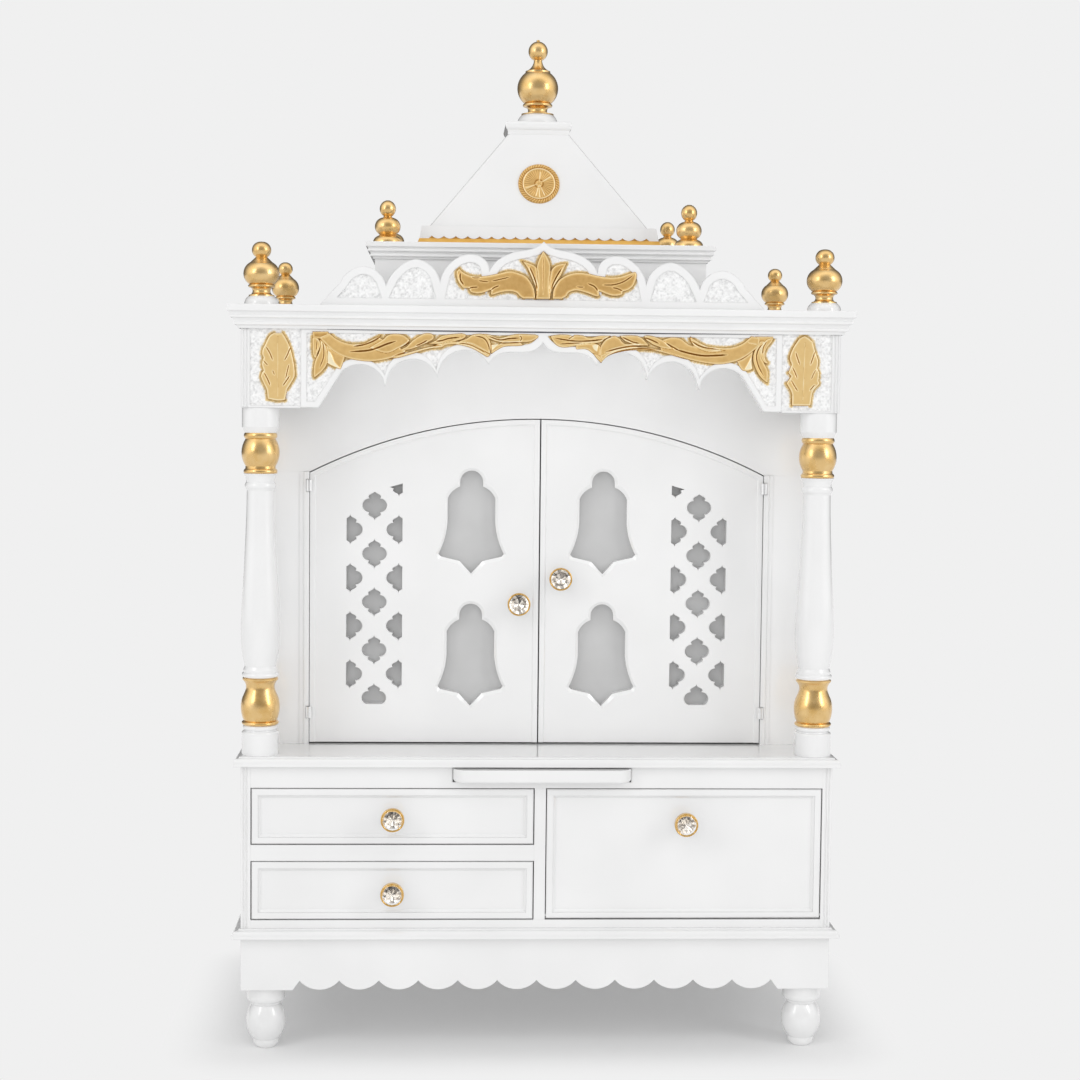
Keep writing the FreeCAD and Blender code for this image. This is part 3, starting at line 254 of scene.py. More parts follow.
def frosted_acrylic():
    """Cast acrylic sheet frosted on its face, an even grey behind the piercings."""
    made, tree, shader = finish("frosted_acrylic", Roughness=0.55, IOR=1.49)
    place = add(tree, "TexCoord").outputs["Object"]
    cloud = add(tree, "TexNoise", Vector=place, Scale=14.0, Detail=3.0).outputs["Fac"]
    colour = ramp(tree, cloud, (0.3, "#BEBEBE"), (0.7, "#C8C8C8"))
    tree.links.new(colour, shader.inputs["Base Color"])
    frost = add(tree, "TexNoise", Vector=place, Scale=1500.0)
    bump = add(tree, "Bump", Strength=0.1, Distance=0.05 * mm, Height=frost.outputs["Fac"])
    tree.links.new(bump.outputs["Normal"], shader.inputs["Normal"])
    return made


def satin_steel():
    """Satin nickel plated steel of the hinge barrels and pivot pins, with fine drawn lines."""
    made, tree, shader = finish("satin_steel", Metallic=1.0, Roughness=0.3)
    place = add(tree, "TexCoord").outputs["Object"]
    drawn = add(tree, "TexNoise", Vector=place, Scale=600.0, Detail=2.0).outputs["Fac"]
    colour = ramp(tree, drawn, (0.3, "#EDEDED"), (0.7, "#F7F7F7"))
    tree.links.new(colour, shader.inputs["Base Color"])
    return made


def bare_joint():
    """A matt dark grey standing in for the shade in the joint as a painted shadow, mottled a little at
    random.
    """
    made, tree, shader = finish("bare_joint", Roughness=0.9)
    place = add(tree, "TexCoord").outputs["Object"]
    shadow_mottle = add(tree, "TexNoise", Vector=place, Scale=30.0, Detail=3.0).outputs["Fac"]
    colour = ramp(tree, shadow_mottle, (0.3, "#4E4F57"), (0.7, "#7B7C84"))
    tree.links.new(colour, shader.inputs["Base Color"])
    return made


finishes = {
    "white_lacquer": white_enamel("white_enamel", 0.6),
    "gilt_turning": gilt_turning(),
    "gold_carving": border_gold(),
    "brass": polished_brass(),
    "crystal": cut_crystal(),
    "frosted_screen": frosted_acrylic(),
    "steel_pin": satin_steel(),
}
for part in frame["record"]["subparts"]:
    node = frame["nodes"][part["node"]]
    if not node.material_slots:
        node.data.materials.append(None)
    for slot in node.material_slots:
        slot.material = finishes[part["material_slot"]]
rolled_white = white_enamel("rolled_white_enamel", 2.6)
for name in ("front_valance", "front_crest", "corner_blocks"):
    for slot in frame["nodes"][name].material_slots:
        slot.material = rolled_white
carved_gold = gold_paint()
punched_white = stippled_enamel()
foil = silver_foil()
seam_shadow = bare_joint()


def smooth_run(points, steps=6):
    """A smooth line through a few given points, rounded as a carver draws it."""
    given = np.array(points, float)
    if len(given) < 3:
        return given
    padded = np.vstack([2 * given[0] - given[1], given, 2 * given[-1] - given[-2]])
    t = np.linspace(0, 1, steps, endpoint=False)[:, None]
    spans = []
    for a, b, c, d in zip(padded, padded[1:], padded[2:], padded[3:]):
        spans.append(b + 0.5 * t * (c - a + t * (2 * a - 5 * b + 4 * c - d + t * (3 * (b - c) + d - a))))
    return np.vstack(spans + [given[-1:]])


def leaf(*runs, lift=0.0, dish=dish_depth, bright=0.0):
    """One carved leaf: a closed edge of smooth runs, sharp where two of them meet."""
    edge = np.vstack([smooth_run(run)[:-1] for run in runs])
    return {"edge": edge, "lift": lift, "dish": dish, "bright": bright}


def gap_to(line, x, z, closed=False):
    """Distance from each point to a line, and how far along the line the nearest place is."""
    ends = np.roll(line, -1, axis=0) if closed else line[1:]
    starts = line if closed else line[:-1]
    along = ends - starts
    length2 = np.maximum((along ** 2).sum(axis=1), 1e-9)
    best = np.full(x.shape, 1e9)
    where = np.zeros(x.shape)
    for i, ((sx, sz), (ax, az), l2) in enumerate(zip(starts, along, length2)):
        t = np.clip(((x - sx) * ax + (z - sz) * az) / l2, 0, 1)
        gap = np.hypot(x - sx - t * ax, z - sz - t * az)
        nearer = gap < best
        best = np.where(nearer, gap, best)
        where = np.where(nearer, (i + t) / len(starts), where)
    return best, where


def within(edge, x, z):
    """Whether each point lies inside a closed edge."""
    inside = np.zeros(x.shape, bool)
    for (ax, az), (bx, bz) in zip(edge, np.roll(edge, -1, axis=0)):
        if az == bz:
            continue
        crosses = (az > z) != (bz > z)
        inside ^= crosses & (x < (bx - ax) * (z - az) / (bz - az) + ax)
    return inside


def carve(leaves, gouges):
    """Heights and tones of a carving on a fine grid, the leaves laid over one another; the tones are
    painted shade and painted highlight.
    """
    every = np.vstack([one["edge"] for one in leaves])
    low = every.min(axis=0) - 2 * carving_step
    high = every.max(axis=0) + 2 * carving_step
    x, z = np.meshgrid(np.arange(low[0], high[0], carving_step), np.arange(low[1], high[1], carving_step))
    height = np.full(x.shape, -1.0)
    tone = np.full(x.shape, 0.5)
    for one in leaves:
        inside = within(one["edge"], x, z)
        gap = gap_to(one["edge"], x[inside], z[inside], closed=True)[0]
        turn = 1 - np.clip(gap / rim_round, 0, 1)
        rise = leaf_wall + one["lift"] + rim_round * np.sqrt(1 - turn ** 2)
        rise -= one["dish"] * np.clip((gap - 1.3 * rim_round) / 2.5, 0, 1)
        # Painted shade and highlight: a dished leaf's middle is toned darker as painted shade, the tone is
        # dark right at a leaf's edge as a painted shadow line, and it is palest about a millimetre in as a
        # painted highlight on the rim.
        field = 0.55 - 0.16 * one["dish"]
        rubbed = np.interp(gap, [0, 0.45, 1.0, 1.7, 2.9], [0.02, 0.25, 0.88, 0.74, field]) + one["bright"]
        higher = rise > height[inside]
        height[inside] = np.where(higher, rise, height[inside])
        tone[inside] = np.where(higher, rubbed, tone[inside])
    for line, width in gouges:
        gap, where = gap_to(smooth_run(line), x, z)
        taper = np.clip(5 * np.minimum(where, 1 - where) + 0.3, 0, 1) * width
        cut = np.clip(1 - gap / (gouge_half * taper), 0, 1)
        # Painted highlight along the lip beside each gouge, and painted shade down in its cut.
        lip_highlight = np.exp(-((gap - 1.7 * gouge_half * taper) / 0.6) ** 2)
        height -= np.where(height > 0, gouge_depth * np.sqrt(cut) * np.minimum(taper, 1), 0)
        tone = np.where(height > 0, tone + 0.28 * lip_highlight - 0.75 * np.sqrt(cut), tone)
    return x, z, height, np.clip(tone, 0, 1)


def outer_edge(leaves):
    """The points of the leaves' edges that no other leaf covers."""
    kept = []
    for one in leaves:
        edge = one["edge"]
        closed = np.vstack([edge, edge[:1]])
        fine = np.vstack([a + (b - a) * t for a, b in zip(closed, closed[1:])
                          for t in (0.0, 0.25, 0.5, 0.75)])
        free = np.ones(len(fine), bool)
        for other in leaves:
            if other is not one:
                free &= ~within(other["edge"], fine[:, 0], fine[:, 1])
        kept.append(fine[free])
    return np.vstack(kept)


def build(name, points, faces, material, body, tones=None, tone_name=None, smooth=True):
    """A piece from points in millimetres, with its finish, riding on one body."""
    mesh = bpy.data.meshes.new(name)
    mesh.from_pydata([tuple(p) for p in np.asarray(points, float) * mm], [], faces)
    mesh.validate()
    if tones is not None:
        layer = mesh.attributes.new(tone_name, "FLOAT", "POINT")
        layer.data.foreach_set("value", np.asarray(tones, np.float32))
    mesh.materials.append(material)
    if smooth:
        mesh.shade_smooth()
        mesh.set_sharp_from_angle(angle=math.radians(62))
    else:
        mesh.shade_flat()
    piece = bpy.data.objects.new(name, mesh)
    bpy.context.scene.collection.objects.link(piece)
    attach(piece, body)
    return piece


def numbered(mask):
    """Number the points of a grid that are kept, and -1 for the rest."""
    number = np.full(mask.shape, -1)
    number[mask] = np.arange(mask.sum())
    return number


def grid_faces(number):
    """Faces between numbered neighbours, squares inside and corners cut along the edge."""
    faces = []
    a, b = number[:-1, :-1], number[:-1, 1:]
    c, d = number[1:, 1:], number[1:, :-1]
    for corner in zip(a.ravel(), b.ravel(), c.ravel(), d.ravel()):
        kept = [int(i) for i in corner if i >= 0]
        if len(kept) >= 3:
            faces.append(kept)
    return faces


def rim_edges(faces):
    """The edges that only one face has, each with the way round that its face gives it."""
    ways = dict.fromkeys((a, b) for face in faces for a, b in zip(face, face[1:] + face[:1]))
    return [(a, b) for a, b in ways if (b, a) not in ways]


def carving(name, leaves, gouges, face_y, replaced, packing):
    """A carved applique, packed out a little from the sunk field behind it; it gives its outline."""
    ground_y = face_y + field_sunk
    x, z, height, tone = carve(leaves, gouges)
    number = numbered(height > 0)
    kept = number >= 0
    faces = grid_faces(number)
    px, pz, ph, pt = x[kept], z[kept], height[kept], tone[kept]
    rim = rim_edges(faces)
    ends = sorted({a for a, b in rim})
    outline = outer_edge(leaves)
    for i in ends:
        gaps = np.hypot(outline[:, 0] - px[i], outline[:, 1] - pz[i])
        nearest = int(gaps.argmin())
        if gaps[nearest] < 1.2 * carving_step:
            px[i], pz[i] = outline[nearest]
            ph[i] = min(ph[i], leaf_wall)
            # The edge points are toned dark as painted shade where the carving meets its ground.
            pt[i] = 0.1
    points = [(px[i], ground_y - packing - ph[i], pz[i]) for i in range(len(px))]
    foot = {i: len(points) + k for k, i in enumerate(ends)}
    points += [(px[i], ground_y + 0.3, pz[i]) for i in ends]
    # The skirt down to the ground is toned darker still as painted shade.
    tones = list(pt) + [0.05] * len(ends)
    faces += [[b, a, foot[a], foot[b]] for a, b in rim if b in foot]
    piece = build(name, points, faces, carved_gold, "carcass", tones, "rubbed")
    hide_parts(replaced)
    return outline


def box_mm(node):
    """A node's lowest and highest corners in millimetres."""
    low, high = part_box(node)
    return np.array(low) / mm, np.array(high) / mm


valance_face = box_mm("front_valance")[0][1]
block_face = box_mm("corner_blocks")[0][1]
crest_face = box_mm("front_crest")[0][1]

# The carvings, drawn from the front: each point is x then z in millimetres. A gouge line carries its width.
left_swag = [
    leaf([(-280, 890), (-261, 890.5)], [(-261, 890.5), (-258.5, 884)], [(-258.5, 884), (-268, 881),
         (-279.5, 882)], [(-279.5, 882), (-280, 890)], lift=0.1, bright=-0.12),
    leaf([(-272.5, 883), (-259.5, 888.5)], [(-259.5, 888.5), (-248.5, 880.5), (-234.5, 876),
         (-218.5, 876.5), (-206.5, 882), (-196, 887)], [(-196, 887), (-197.5, 883), (-189, 881),
         (-174.5, 879), (-173.5, 872), (-166, 868.5)], [(-166, 868.5), (-170.5, 863.5), (-188.5, 857.5),
         (-206.5, 854.5), (-224.5, 855.5), (-240.5, 859), (-254.5, 866), (-265.5, 876), (-272.5, 883)],
         lift=0.3),
    leaf([(-212, 871), (-195.5, 881), (-188.5, 887), (-178.5, 888.5), (-169.5, 887), (-162.5, 882)],
         [(-162.5, 882), (-163.5, 877), (-174.5, 871), (-190.5, 864.5), (-212, 871)], lift=0.9),
    leaf([(-176, 869), (-166.5, 873), (-158.5, 881), (-146.5, 888.5), (-137.5, 889.5), (-132.5, 887)],
         [(-132.5, 887), (-134, 881.5), (-146.5, 875), (-162.5, 869), (-176, 869)], lift=0.7),
    leaf([(-143, 876), (-131, 881), (-124, 886.5), (-114, 888.5), (-99, 890)], [(-99, 890), (-93.5, 888),
         (-96, 883.5), (-106, 880), (-124, 876.5), (-143, 876)], lift=0.5),
    leaf([(-110, 878), (-94, 883.5), (-86, 888.5), (-74, 889.5), (-67, 885), (-63.5, 878), (-64, 864.5)],
         [(-64, 864.5), (-74.5, 870), (-86, 876), (-98, 878), (-110, 878)], lift=0.6),
    leaf([(-188.5, 857.5), (-170.5, 864), (-154.5, 869), (-138, 873.5), (-124, 877.5), (-108, 880),
         (-94, 879), (-82, 875), (-71.5, 868.5), (-63.5, 864.5)], [(-63.5, 864.5), (-67.5, 861.5),
         (-73.5, 864.5), (-84, 870.5), (-94, 874), (-106, 876), (-118, 875), (-124, 872), (-138, 870.5),
         (-156, 865), (-174.5, 859.5), (-188.5, 857.5)], lift=1.1, dish=0.0),
    leaf([(-79, 889.5), (-66, 889), (-53.5, 885), (-41.5, 888), (-29.5, 890), (-9.5, 889.5)],
         [(-9.5, 889.5), (-5.5, 887.5), (-8, 884), (-15.5, 880.5), (-27.5, 879.5), (-45.5, 878.5),
         (-57.5, 880.5), (-68, 884), (-79, 889.5)], lift=0.2),
    leaf([(-63.5, 864.5), (-63, 877), (-57.5, 876), (-45.5, 880.5), (-29.5, 881.5)], [(-29.5, 881.5),
         (-25, 876), (-45.5, 874.5), (-55.5, 870), (-63.5, 864.5)], lift=-0.1),
    leaf([(-63, 876.5), (-52.5, 878.5)], [(-52.5, 878.5), (-57.5, 873)], [(-57.5, 873), (-62.8, 868)],
         [(-62.8, 868), (-63, 876.5)], lift=0.6, dish=0.0, bright=0.45),
    leaf([(-280, 883), (-273.5, 882), (-269.5, 876), (-271, 869), (-273.5, 863), (-275.5, 857)],
         [(-275.5, 857), (-278.5, 859.5), (-280, 869.5), (-280, 883)], lift=0.4),
    leaf([(-271.5, 882), (-264.5, 875), (-261.5, 866), (-261, 857), (-262.5, 849), (-268.5, 841),
         (-277.3, 833.5)], [(-277.3, 833.5), (-278.5, 838), (-278, 848.5), (-276, 856.5), (-272, 865),
         (-270, 874), (-271.5, 882)], lift=0.6),
    leaf([(-264.5, 875), (-258.5, 871), (-248.5, 865), (-240, 860.5)], [(-240, 860.5), (-241.5, 855),
         (-245.5, 844.5)], [(-245.5, 844.5), (-253.5, 847), (-262, 851.5)], [(-262, 851.5), (-261, 861),
         (-264.5, 875)], lift=-0.2),
    leaf([(-261.3, 868), (-257, 864), (-253, 854), (-245.8, 846.5)], [(-245.8, 846.5), (-246.5, 844.8),
         (-254, 848), (-261.8, 851.5)], [(-261.8, 851.5), (-261.3, 868)], lift=0.5, dish=0.0, bright=0.5),
]
left_swag_gouges = [
    ([(-196, 885.5), (-206.5, 879), (-218.5, 874.5), (-230, 872.5)], 1.0),
    ([(-178.5, 879.5), (-190.5, 875.5), (-202.5, 870.5), (-214.5, 867.5), (-234.5, 866)], 1.15),
    ([(-161.5, 880), (-166.5, 875.5), (-173.5, 870.5)], 1.0),
    ([(-140.5, 881), (-147.5, 877), (-154.5, 874)], 0.9),
    ([(-101, 885), (-114, 883.5), (-124, 880.5), (-131, 880)], 0.9),
    ([(-66.5, 887), (-53.5, 882.5), (-41.5, 884), (-28.5, 885)], 0.9),
    ([(-28.5, 888), (-26, 884.5), (-28, 881)], 0.7),
    ([(-51.5, 878.2), (-39.5, 879), (-26.5, 879.5)], 0.8),
    ([(-274, 880), (-274.5, 874), (-275.5, 866)], 0.6),
    ([(-268, 878), (-266, 870), (-266.5, 858), (-271, 846)], 0.7),
    ([(-83, 887), (-72, 884), (-66.5, 876), (-65, 868)], 0.8),
    ([(-182.5, 860.8), (-164.5, 866.8), (-142, 872.8), (-124, 875)], 0.9),
    ([(-104, 877.8), (-90, 876.3), (-78, 871), (-70, 866)], 0.8),
]
right_swag = [
    leaf([(254, 890), (282.5, 890.5)], [(282.5, 890.5), (280.5, 884), (262.5, 879)], [(262.5, 879),
         (250, 882), (254, 890)], lift=0.1),
    leaf([(266, 889), (255, 890.5)], [(255, 890.5), (244, 881.5), (229.5, 876.5), (213.5, 876.5),
         (197, 879), (187, 885), (179.5, 890)], [(179.5, 890), (180.5, 883), (189, 877)], [(189, 877),
         (178, 880), (168, 887), (156, 888), (145, 884.5)], [(145, 884.5), (142, 879), (144.5, 870.5)],
         [(144.5, 870.5), (166.5, 864), (191.5, 858), (213.5, 855.5), (232, 858), (244, 862.5),
         (256.5, 871), (264.5, 879), (266, 889)], lift=0.3),
    leaf([(179.5, 890), (183.5, 887), (197, 879.5), (209.5, 875), (226, 872.5)], [(226, 872.5),
         (207.5, 870), (193, 873), (184, 878)], [(184, 878), (180.5, 884), (179.5, 890)], lift=0.8),
    leaf([(122.5, 889), (129, 890), (140, 887.5), (150, 882), (160, 872.5)], [(160, 872.5), (146, 874.5),
         (134, 878.5)], [(134, 878.5), (126, 884), (122.5, 889)], lift=0.9),
    leaf([(93, 889), (105.5, 890), (115.5, 889.5)], [(115.5, 889.5), (122, 886), (131, 877)], [(131, 877),
         (113.5, 878), (100, 882)], [(100, 882), (93, 889)], lift=0.7),
    leaf([(69, 863), (70, 875.5), (77, 885), (87, 889), (94, 886)], [(94, 886), (100, 880),
         (113.5, 879.5), (124, 878)], [(124, 878), (113.5, 876), (97.5, 874), (85.5, 871), (75.5, 865)],
         [(75.5, 865), (69, 863)], lift=0.6),
    leaf([(69, 865), (85.5, 871.5), (101.5, 875), (118, 876.3), (134, 874.8), (150.5, 870.8),
         (166.5, 865), (181, 860.5)], [(181, 860.5), (173, 861.8), (154.5, 866.8), (138, 870.8),
         (122, 872), (105.5, 871.2), (91.5, 868.5), (79.5, 864), (72.5, 857.5)], [(72.5, 857.5),
         (69, 865)], lift=1.1, dish=0.0),
    leaf([(8.5, 888), (18.5, 889.7), (30.5, 889.7), (36.5, 887.5)], [(36.5, 887.5), (38.5, 889.6),
         (48.5, 889), (57, 886.5), (70, 889), (84, 889)], [(84, 889), (75, 884), (69, 880), (53, 878.5),
         (40, 876)], [(40, 876), (26.5, 874), (17.5, 876), (11.5, 882), (8.5, 888)], lift=0.2),
    leaf([(39.5, 878), (40.5, 871.8)], [(40.5, 871.8), (53, 872), (62, 866), (70, 860.5)], [(70, 860.5),
         (70, 876), (59, 880), (39.5, 878)], lift=-0.1),
    leaf([(59.5, 877), (67, 878), (66.5, 868.5)], [(66.5, 868.5), (62, 872), (59.5, 877)], lift=0.6,
         dish=0.0, bright=0.5),
    leaf([(60, 869), (69, 864.5), (74, 859.5)], [(74, 859.5), (71.3, 855.5)], [(71.3, 855.5), (65, 862),
         (60, 869)], lift=0.5),
    leaf([(282.5, 889), (281, 884), (275.5, 877), (272.5, 870), (273, 863), (277, 858)], [(277, 858),
         (274.5, 856.5), (269, 861), (266, 870), (267.5, 880)], [(267.5, 880), (274, 887), (282.5, 889)],
         lift=0.5),
    leaf([(266, 885), (272, 884), (268.5, 876), (267.5, 866), (272, 857), (276.5, 847.5), (276.3, 832.5)],
         [(276.3, 832.5), (267, 840.5), (260.5, 851.5), (257.5, 861.5), (259, 872), (266, 885)],
         lift=0.6),
    leaf([(237.5, 860), (246, 863.5), (258, 873)], [(258, 873), (256.5, 859.5), (257.8, 850)],
         [(257.8, 850), (252, 847.8), (245, 848.5), (241, 853)], [(241, 853), (237.5, 860)], lift=-0.2),
    leaf([(256.5, 868), (256.2, 859), (257.3, 850.5)], [(257.3, 850.5), (250, 849), (247, 850)],
         [(247, 850), (251, 857), (256.5, 868)], lift=0.5, dish=0.0, bright=0.5),
]
right_swag_gouges = [
    ([(181, 884), (190, 878.5), (200, 875.5), (216, 873.5)], 0.9),
    ([(160, 874), (178, 869), (196, 866), (214, 866.5), (226, 867.5)], 1.15),
    ([(123, 887.5), (132, 884.5), (142, 880)], 0.9),
    ([(96, 887.5), (102, 885), (110, 881.5), (118, 880)], 0.9),
    ([(150, 881), (158, 876.5), (166, 872.5)], 0.9),
    ([(14, 885.5), (26, 883.5), (40, 882), (58, 882.5), (76, 885)], 0.9),
    ([(36.5, 888), (33, 885.5), (31, 884.5)], 0.7),
    ([(20, 878), (32, 879), (48, 880)], 0.7),
    ([(76, 869), (90, 873.2), (106, 876.5), (122, 877.2)], 0.9),
    ([(77, 863.8), (92, 869.8), (108, 873), (124, 873.8), (140, 872)], 0.9),
    ([(270, 882), (264, 874), (262, 864), (265, 853), (271, 842)], 0.8),
    ([(274, 884), (270, 876), (269.5, 868)], 0.7),
    ([(72, 881), (76, 885), (84, 887.5)], 0.6),
]
left_plaque = [
    leaf([(-326.5, 888), (-315.3, 888)], [(-315.3, 888), (-309, 877), (-305.5, 868), (-302.8, 857),
         (-301.3, 850)], [(-301.3, 850), (-300.5, 837), (-303, 830.5), (-309.5, 820)], [(-309.5, 820),
         (-312.5, 806.2)], [(-312.5, 806.2), (-321.4, 805.5), (-334, 807.5)], [(-334, 807.5),
         (-335.2, 818.5), (-339, 826.5), (-342.4, 834.5)], [(-342.4, 834.5), (-341, 839.5),
         (-338.8, 842)], [(-338.8, 842), (-341, 849.5), (-339, 857.5)], [(-339, 857.5), (-340.8, 862),
         (-340, 868), (-337.5, 873), (-332, 884), (-326.5, 888)], lift=0.3, dish=0.15, bright=0.1),
    leaf([(-322.6, 884), (-320.2, 884)], [(-320.2, 884), (-320.0, 850), (-320.4, 810)], [(-320.4, 810),
         (-322.8, 810)], [(-322.8, 810), (-322.4, 850), (-322.6, 884)], lift=0.4, dish=0.0),
]
left_plaque_gouges = [
    ([(-336, 871.4), (-331, 863), (-327.5, 854.5)], 0.8),
    ([(-339, 854.5), (-336, 851), (-333.5, 848.5)], 0.7),
    ([(-327.5, 842.3), (-326.5, 839.5), (-325.3, 837)], 0.7),
    ([(-338.3, 840), (-334, 832), (-330.5, 824)], 0.8),
    ([(-305.8, 871.8), (-309.5, 862), (-313.5, 854.5)], 0.8),
    ([(-308, 849.8), (-310, 841), (-312, 832.5)], 0.7),
    ([(-307, 836), (-311, 830), (-315.3, 824)], 0.8),
]
right_plaque = [
    leaf([(314, 888.5), (321.5, 891.5), (331, 885)], [(331, 885), (334.5, 873), (338.5, 862)],
         [(338.5, 862), (338.5, 856.5), (337.5, 852)], [(337.5, 852), (340, 846), (339.2, 837)],
         [(339.2, 837), (340, 832.5), (332.5, 823), (329.8, 806)], [(329.8, 806), (306.2, 806)],
         [(306.2, 806), (305.8, 821), (299, 833.5)], [(299, 833.5), (304.8, 842)], [(304.8, 842),
         (301, 846)], [(301, 846), (305, 856.5)], [(305, 856.5), (302.5, 864.8), (306.6, 876.8),
         (314, 888.5)], lift=0.3, dish=0.15, bright=0.1),
    leaf([(320.2, 884), (322.4, 884)], [(322.4, 884), (322.0, 850), (321.0, 812)], [(321.0, 812),
         (318.6, 812)], [(318.6, 812), (319.4, 850), (320.2, 884)], lift=0.4, dish=0.0),
]
right_plaque_gouges = [
    ([(310, 871.5), (313, 863), (315.3, 856.3)], 0.8),
    ([(306.2, 853.3), (310, 846), (312.7, 839.5)], 0.8),
    ([(305, 837.3), (309.5, 830), (313.4, 824)], 0.8),
    ([(334, 873), (331.5, 864.5), (328.6, 856.3)], 0.8),
    ([(335.4, 850.2), (332.5, 844.5), (330.1, 838.9)], 0.7),
    ([(334.6, 832), (331, 828), (328.6, 824.8)], 0.7),
]
crest_wing = [
    leaf([(-9.5, 932.5), (-11, 943.5), (-15, 952.5), (-21.5, 960), (-30.5, 963.8), (-41.5, 966),
         (-56.5, 962.5), (-71.5, 959.5), (-86.5, 959.5), (-97, 963.5), (-102.5, 968.5)], [(-102.5, 968.5),
         (-106.3, 963.5), (-104.5, 953), (-98.5, 944.5)], [(-98.5, 944.5), (-91, 944)], [(-91, 944),
         (-88, 939.2), (-77.5, 938), (-64, 942.3)], [(-64, 942.3), (-63.3, 936.3), (-53, 939.3),
         (-42.5, 941), (-33.5, 939.5), (-29, 935)], [(-29, 935), (-24.5, 932.3)], [(-24.5, 932.3),
         (-9.5, 932.5)], lift=0.1, dish=0.9),
]
crest_bud = [
    leaf([(-9.5, 932.5), (-9.5, 943.5), (-12.5, 952.5), (-17, 963), (-21.5, 971.5), (-27.3, 978.8)],
         [(-27.3, 978.8), (-15.5, 975), (-9.5, 971.5), (-7.5, 964.5), (-6.5, 954), (-5.5, 940)],
         [(-5.5, 940), (-9.5, 932.5)], lift=0.7, dish=0.9),
    leaf([(9.5, 932.5), (9.5, 941), (15, 951.5), (21, 960.5), (25, 969.5), (28.3, 976.3)], [(28.3, 976.3),
         (22, 975.8), (14.5, 973.5), (9.5, 968.5), (7.8, 962), (6.5, 954), (5.5, 940)], [(5.5, 940),
         (9.5, 932.5)], lift=0.7, dish=0.9),
    leaf([(-9.5, 932.2), (-8, 943.5), (-7, 954), (-8, 964.5), (-9, 971.5), (-6, 981), (-0.8, 991)],
         [(-0.8, 991), (5.5, 981.5), (8.7, 971.5), (8, 962), (7, 954), (7.2, 944), (9, 932.2)],
         [(9, 932.2), (-9.5, 932.2)], lift=1.4, dish=0.5),
]
crest_gouges = [
    ([(-79, 954), (-73, 953), (-67, 952.5)], 0.7),
    ([(-62.5, 953.5), (-53.5, 955.5), (-41.5, 958.5)], 0.7),
    ([(-87.5, 958), (-83.5, 957), (-77.5, 957.5)], 0.6),
    ([(-101.5, 963), (-101, 954.5), (-97, 948.5)], 0.9),
    ([(-64, 942.3), (-60, 945.5), (-54, 948)], 0.8),
    ([(-91, 944), (-86, 945.5), (-80, 946)], 0.8),
    ([(72.5, 950.5), (86, 951), (98, 955), (109, 962.5)], 0.8),
    ([(66.5, 943), (62, 948.5), (54, 952)], 0.9),
    ([(97, 943), (91, 946), (84, 947.5)], 0.8),
    ([(40.5, 948), (45, 947.5), (49, 947.6)], 0.6),
    ([(-8, 943.5), (-9.5, 952.5), (-13.5, 963), (-17.5, 971.5)], 0.9),
    ([(9, 943), (12, 952), (17, 962), (22, 970)], 0.9),
    ([(-0.6, 984), (-0.6, 965), (-0.6, 938)], 0.5),
]
right_wing = leaf(
    [(10.5, 932.5), (12, 944), (16.5, 953), (22.5, 959), (31.5, 963.3), (42, 965.2), (54, 964.2),
     (68, 961.2), (83, 960), (95, 961.5), (104, 964.8), (112, 967)],
    [(112, 967), (113.8, 962), (110.5, 951), (104.5, 945), (97, 942.3)],
    [(97, 942.3), (95.5, 938.6), (83.5, 937.2), (68, 942.6)],
    [(68, 942.6), (66.5, 936), (53, 940), (40.5, 943), (31.5, 940.5), (28.5, 936)],
    [(28.5, 936), (22.5, 932.5)], [(22.5, 932.5), (10.5, 932.5)], lift=0.1, dish=0.9)
crest_leaves = crest_wing + [right_wing] + crest_bud
outlines = {}
for name, leaves, gouges, face, replaced, packing in (
        ("left_swag", left_swag, left_swag_gouges, valance_face, "valance_carving", 0.5),
        ("right_swag", right_swag, right_swag_gouges, valance_face, "valance_carving", 0.5),
        ("left_plaque", left_plaque, left_plaque_gouges, block_face, "valance_carving", 0.5),
        ("right_plaque", right_plaque, right_plaque_gouges, block_face, "valance_carving", 0.5),
        ("crest_wings", crest_leaves, crest_gouges, crest_face, "crest_carving", 1.6)):
    outlines[name] = carving(name, leaves, gouges, face, replaced, packing)


def seam_shadow_strip():
    """A dark strip laid just in front of the valance under the cornice as a painted shadow of the joint,
    widest in the middle.
    """
    x = np.linspace(*seam_ends, seam_steps)
    wide = 0.35 + 1.35 * np.clip(1 - np.abs(x / seam_ends[0]) ** 2.6, 0, 1)
    top = box_mm("front_valance")[1][2]
    face = valance_face - 0.12 - 0.25 * np.sin(np.linspace(0, math.pi, seam_steps))
    points = [(a, f, top + 0.1) for a, f in zip(x, face)]
    points += [(a, f, top - w) for a, f, w in zip(x, face, wide)]
    points += [(a, valance_face + 0.5, top - w) for a, w in zip(x, wide)]
    faces = grid_faces(np.arange(3 * seam_steps).reshape(3, seam_steps))
    build("valance_seam_shadow", points, faces, seam_shadow, "carcass")


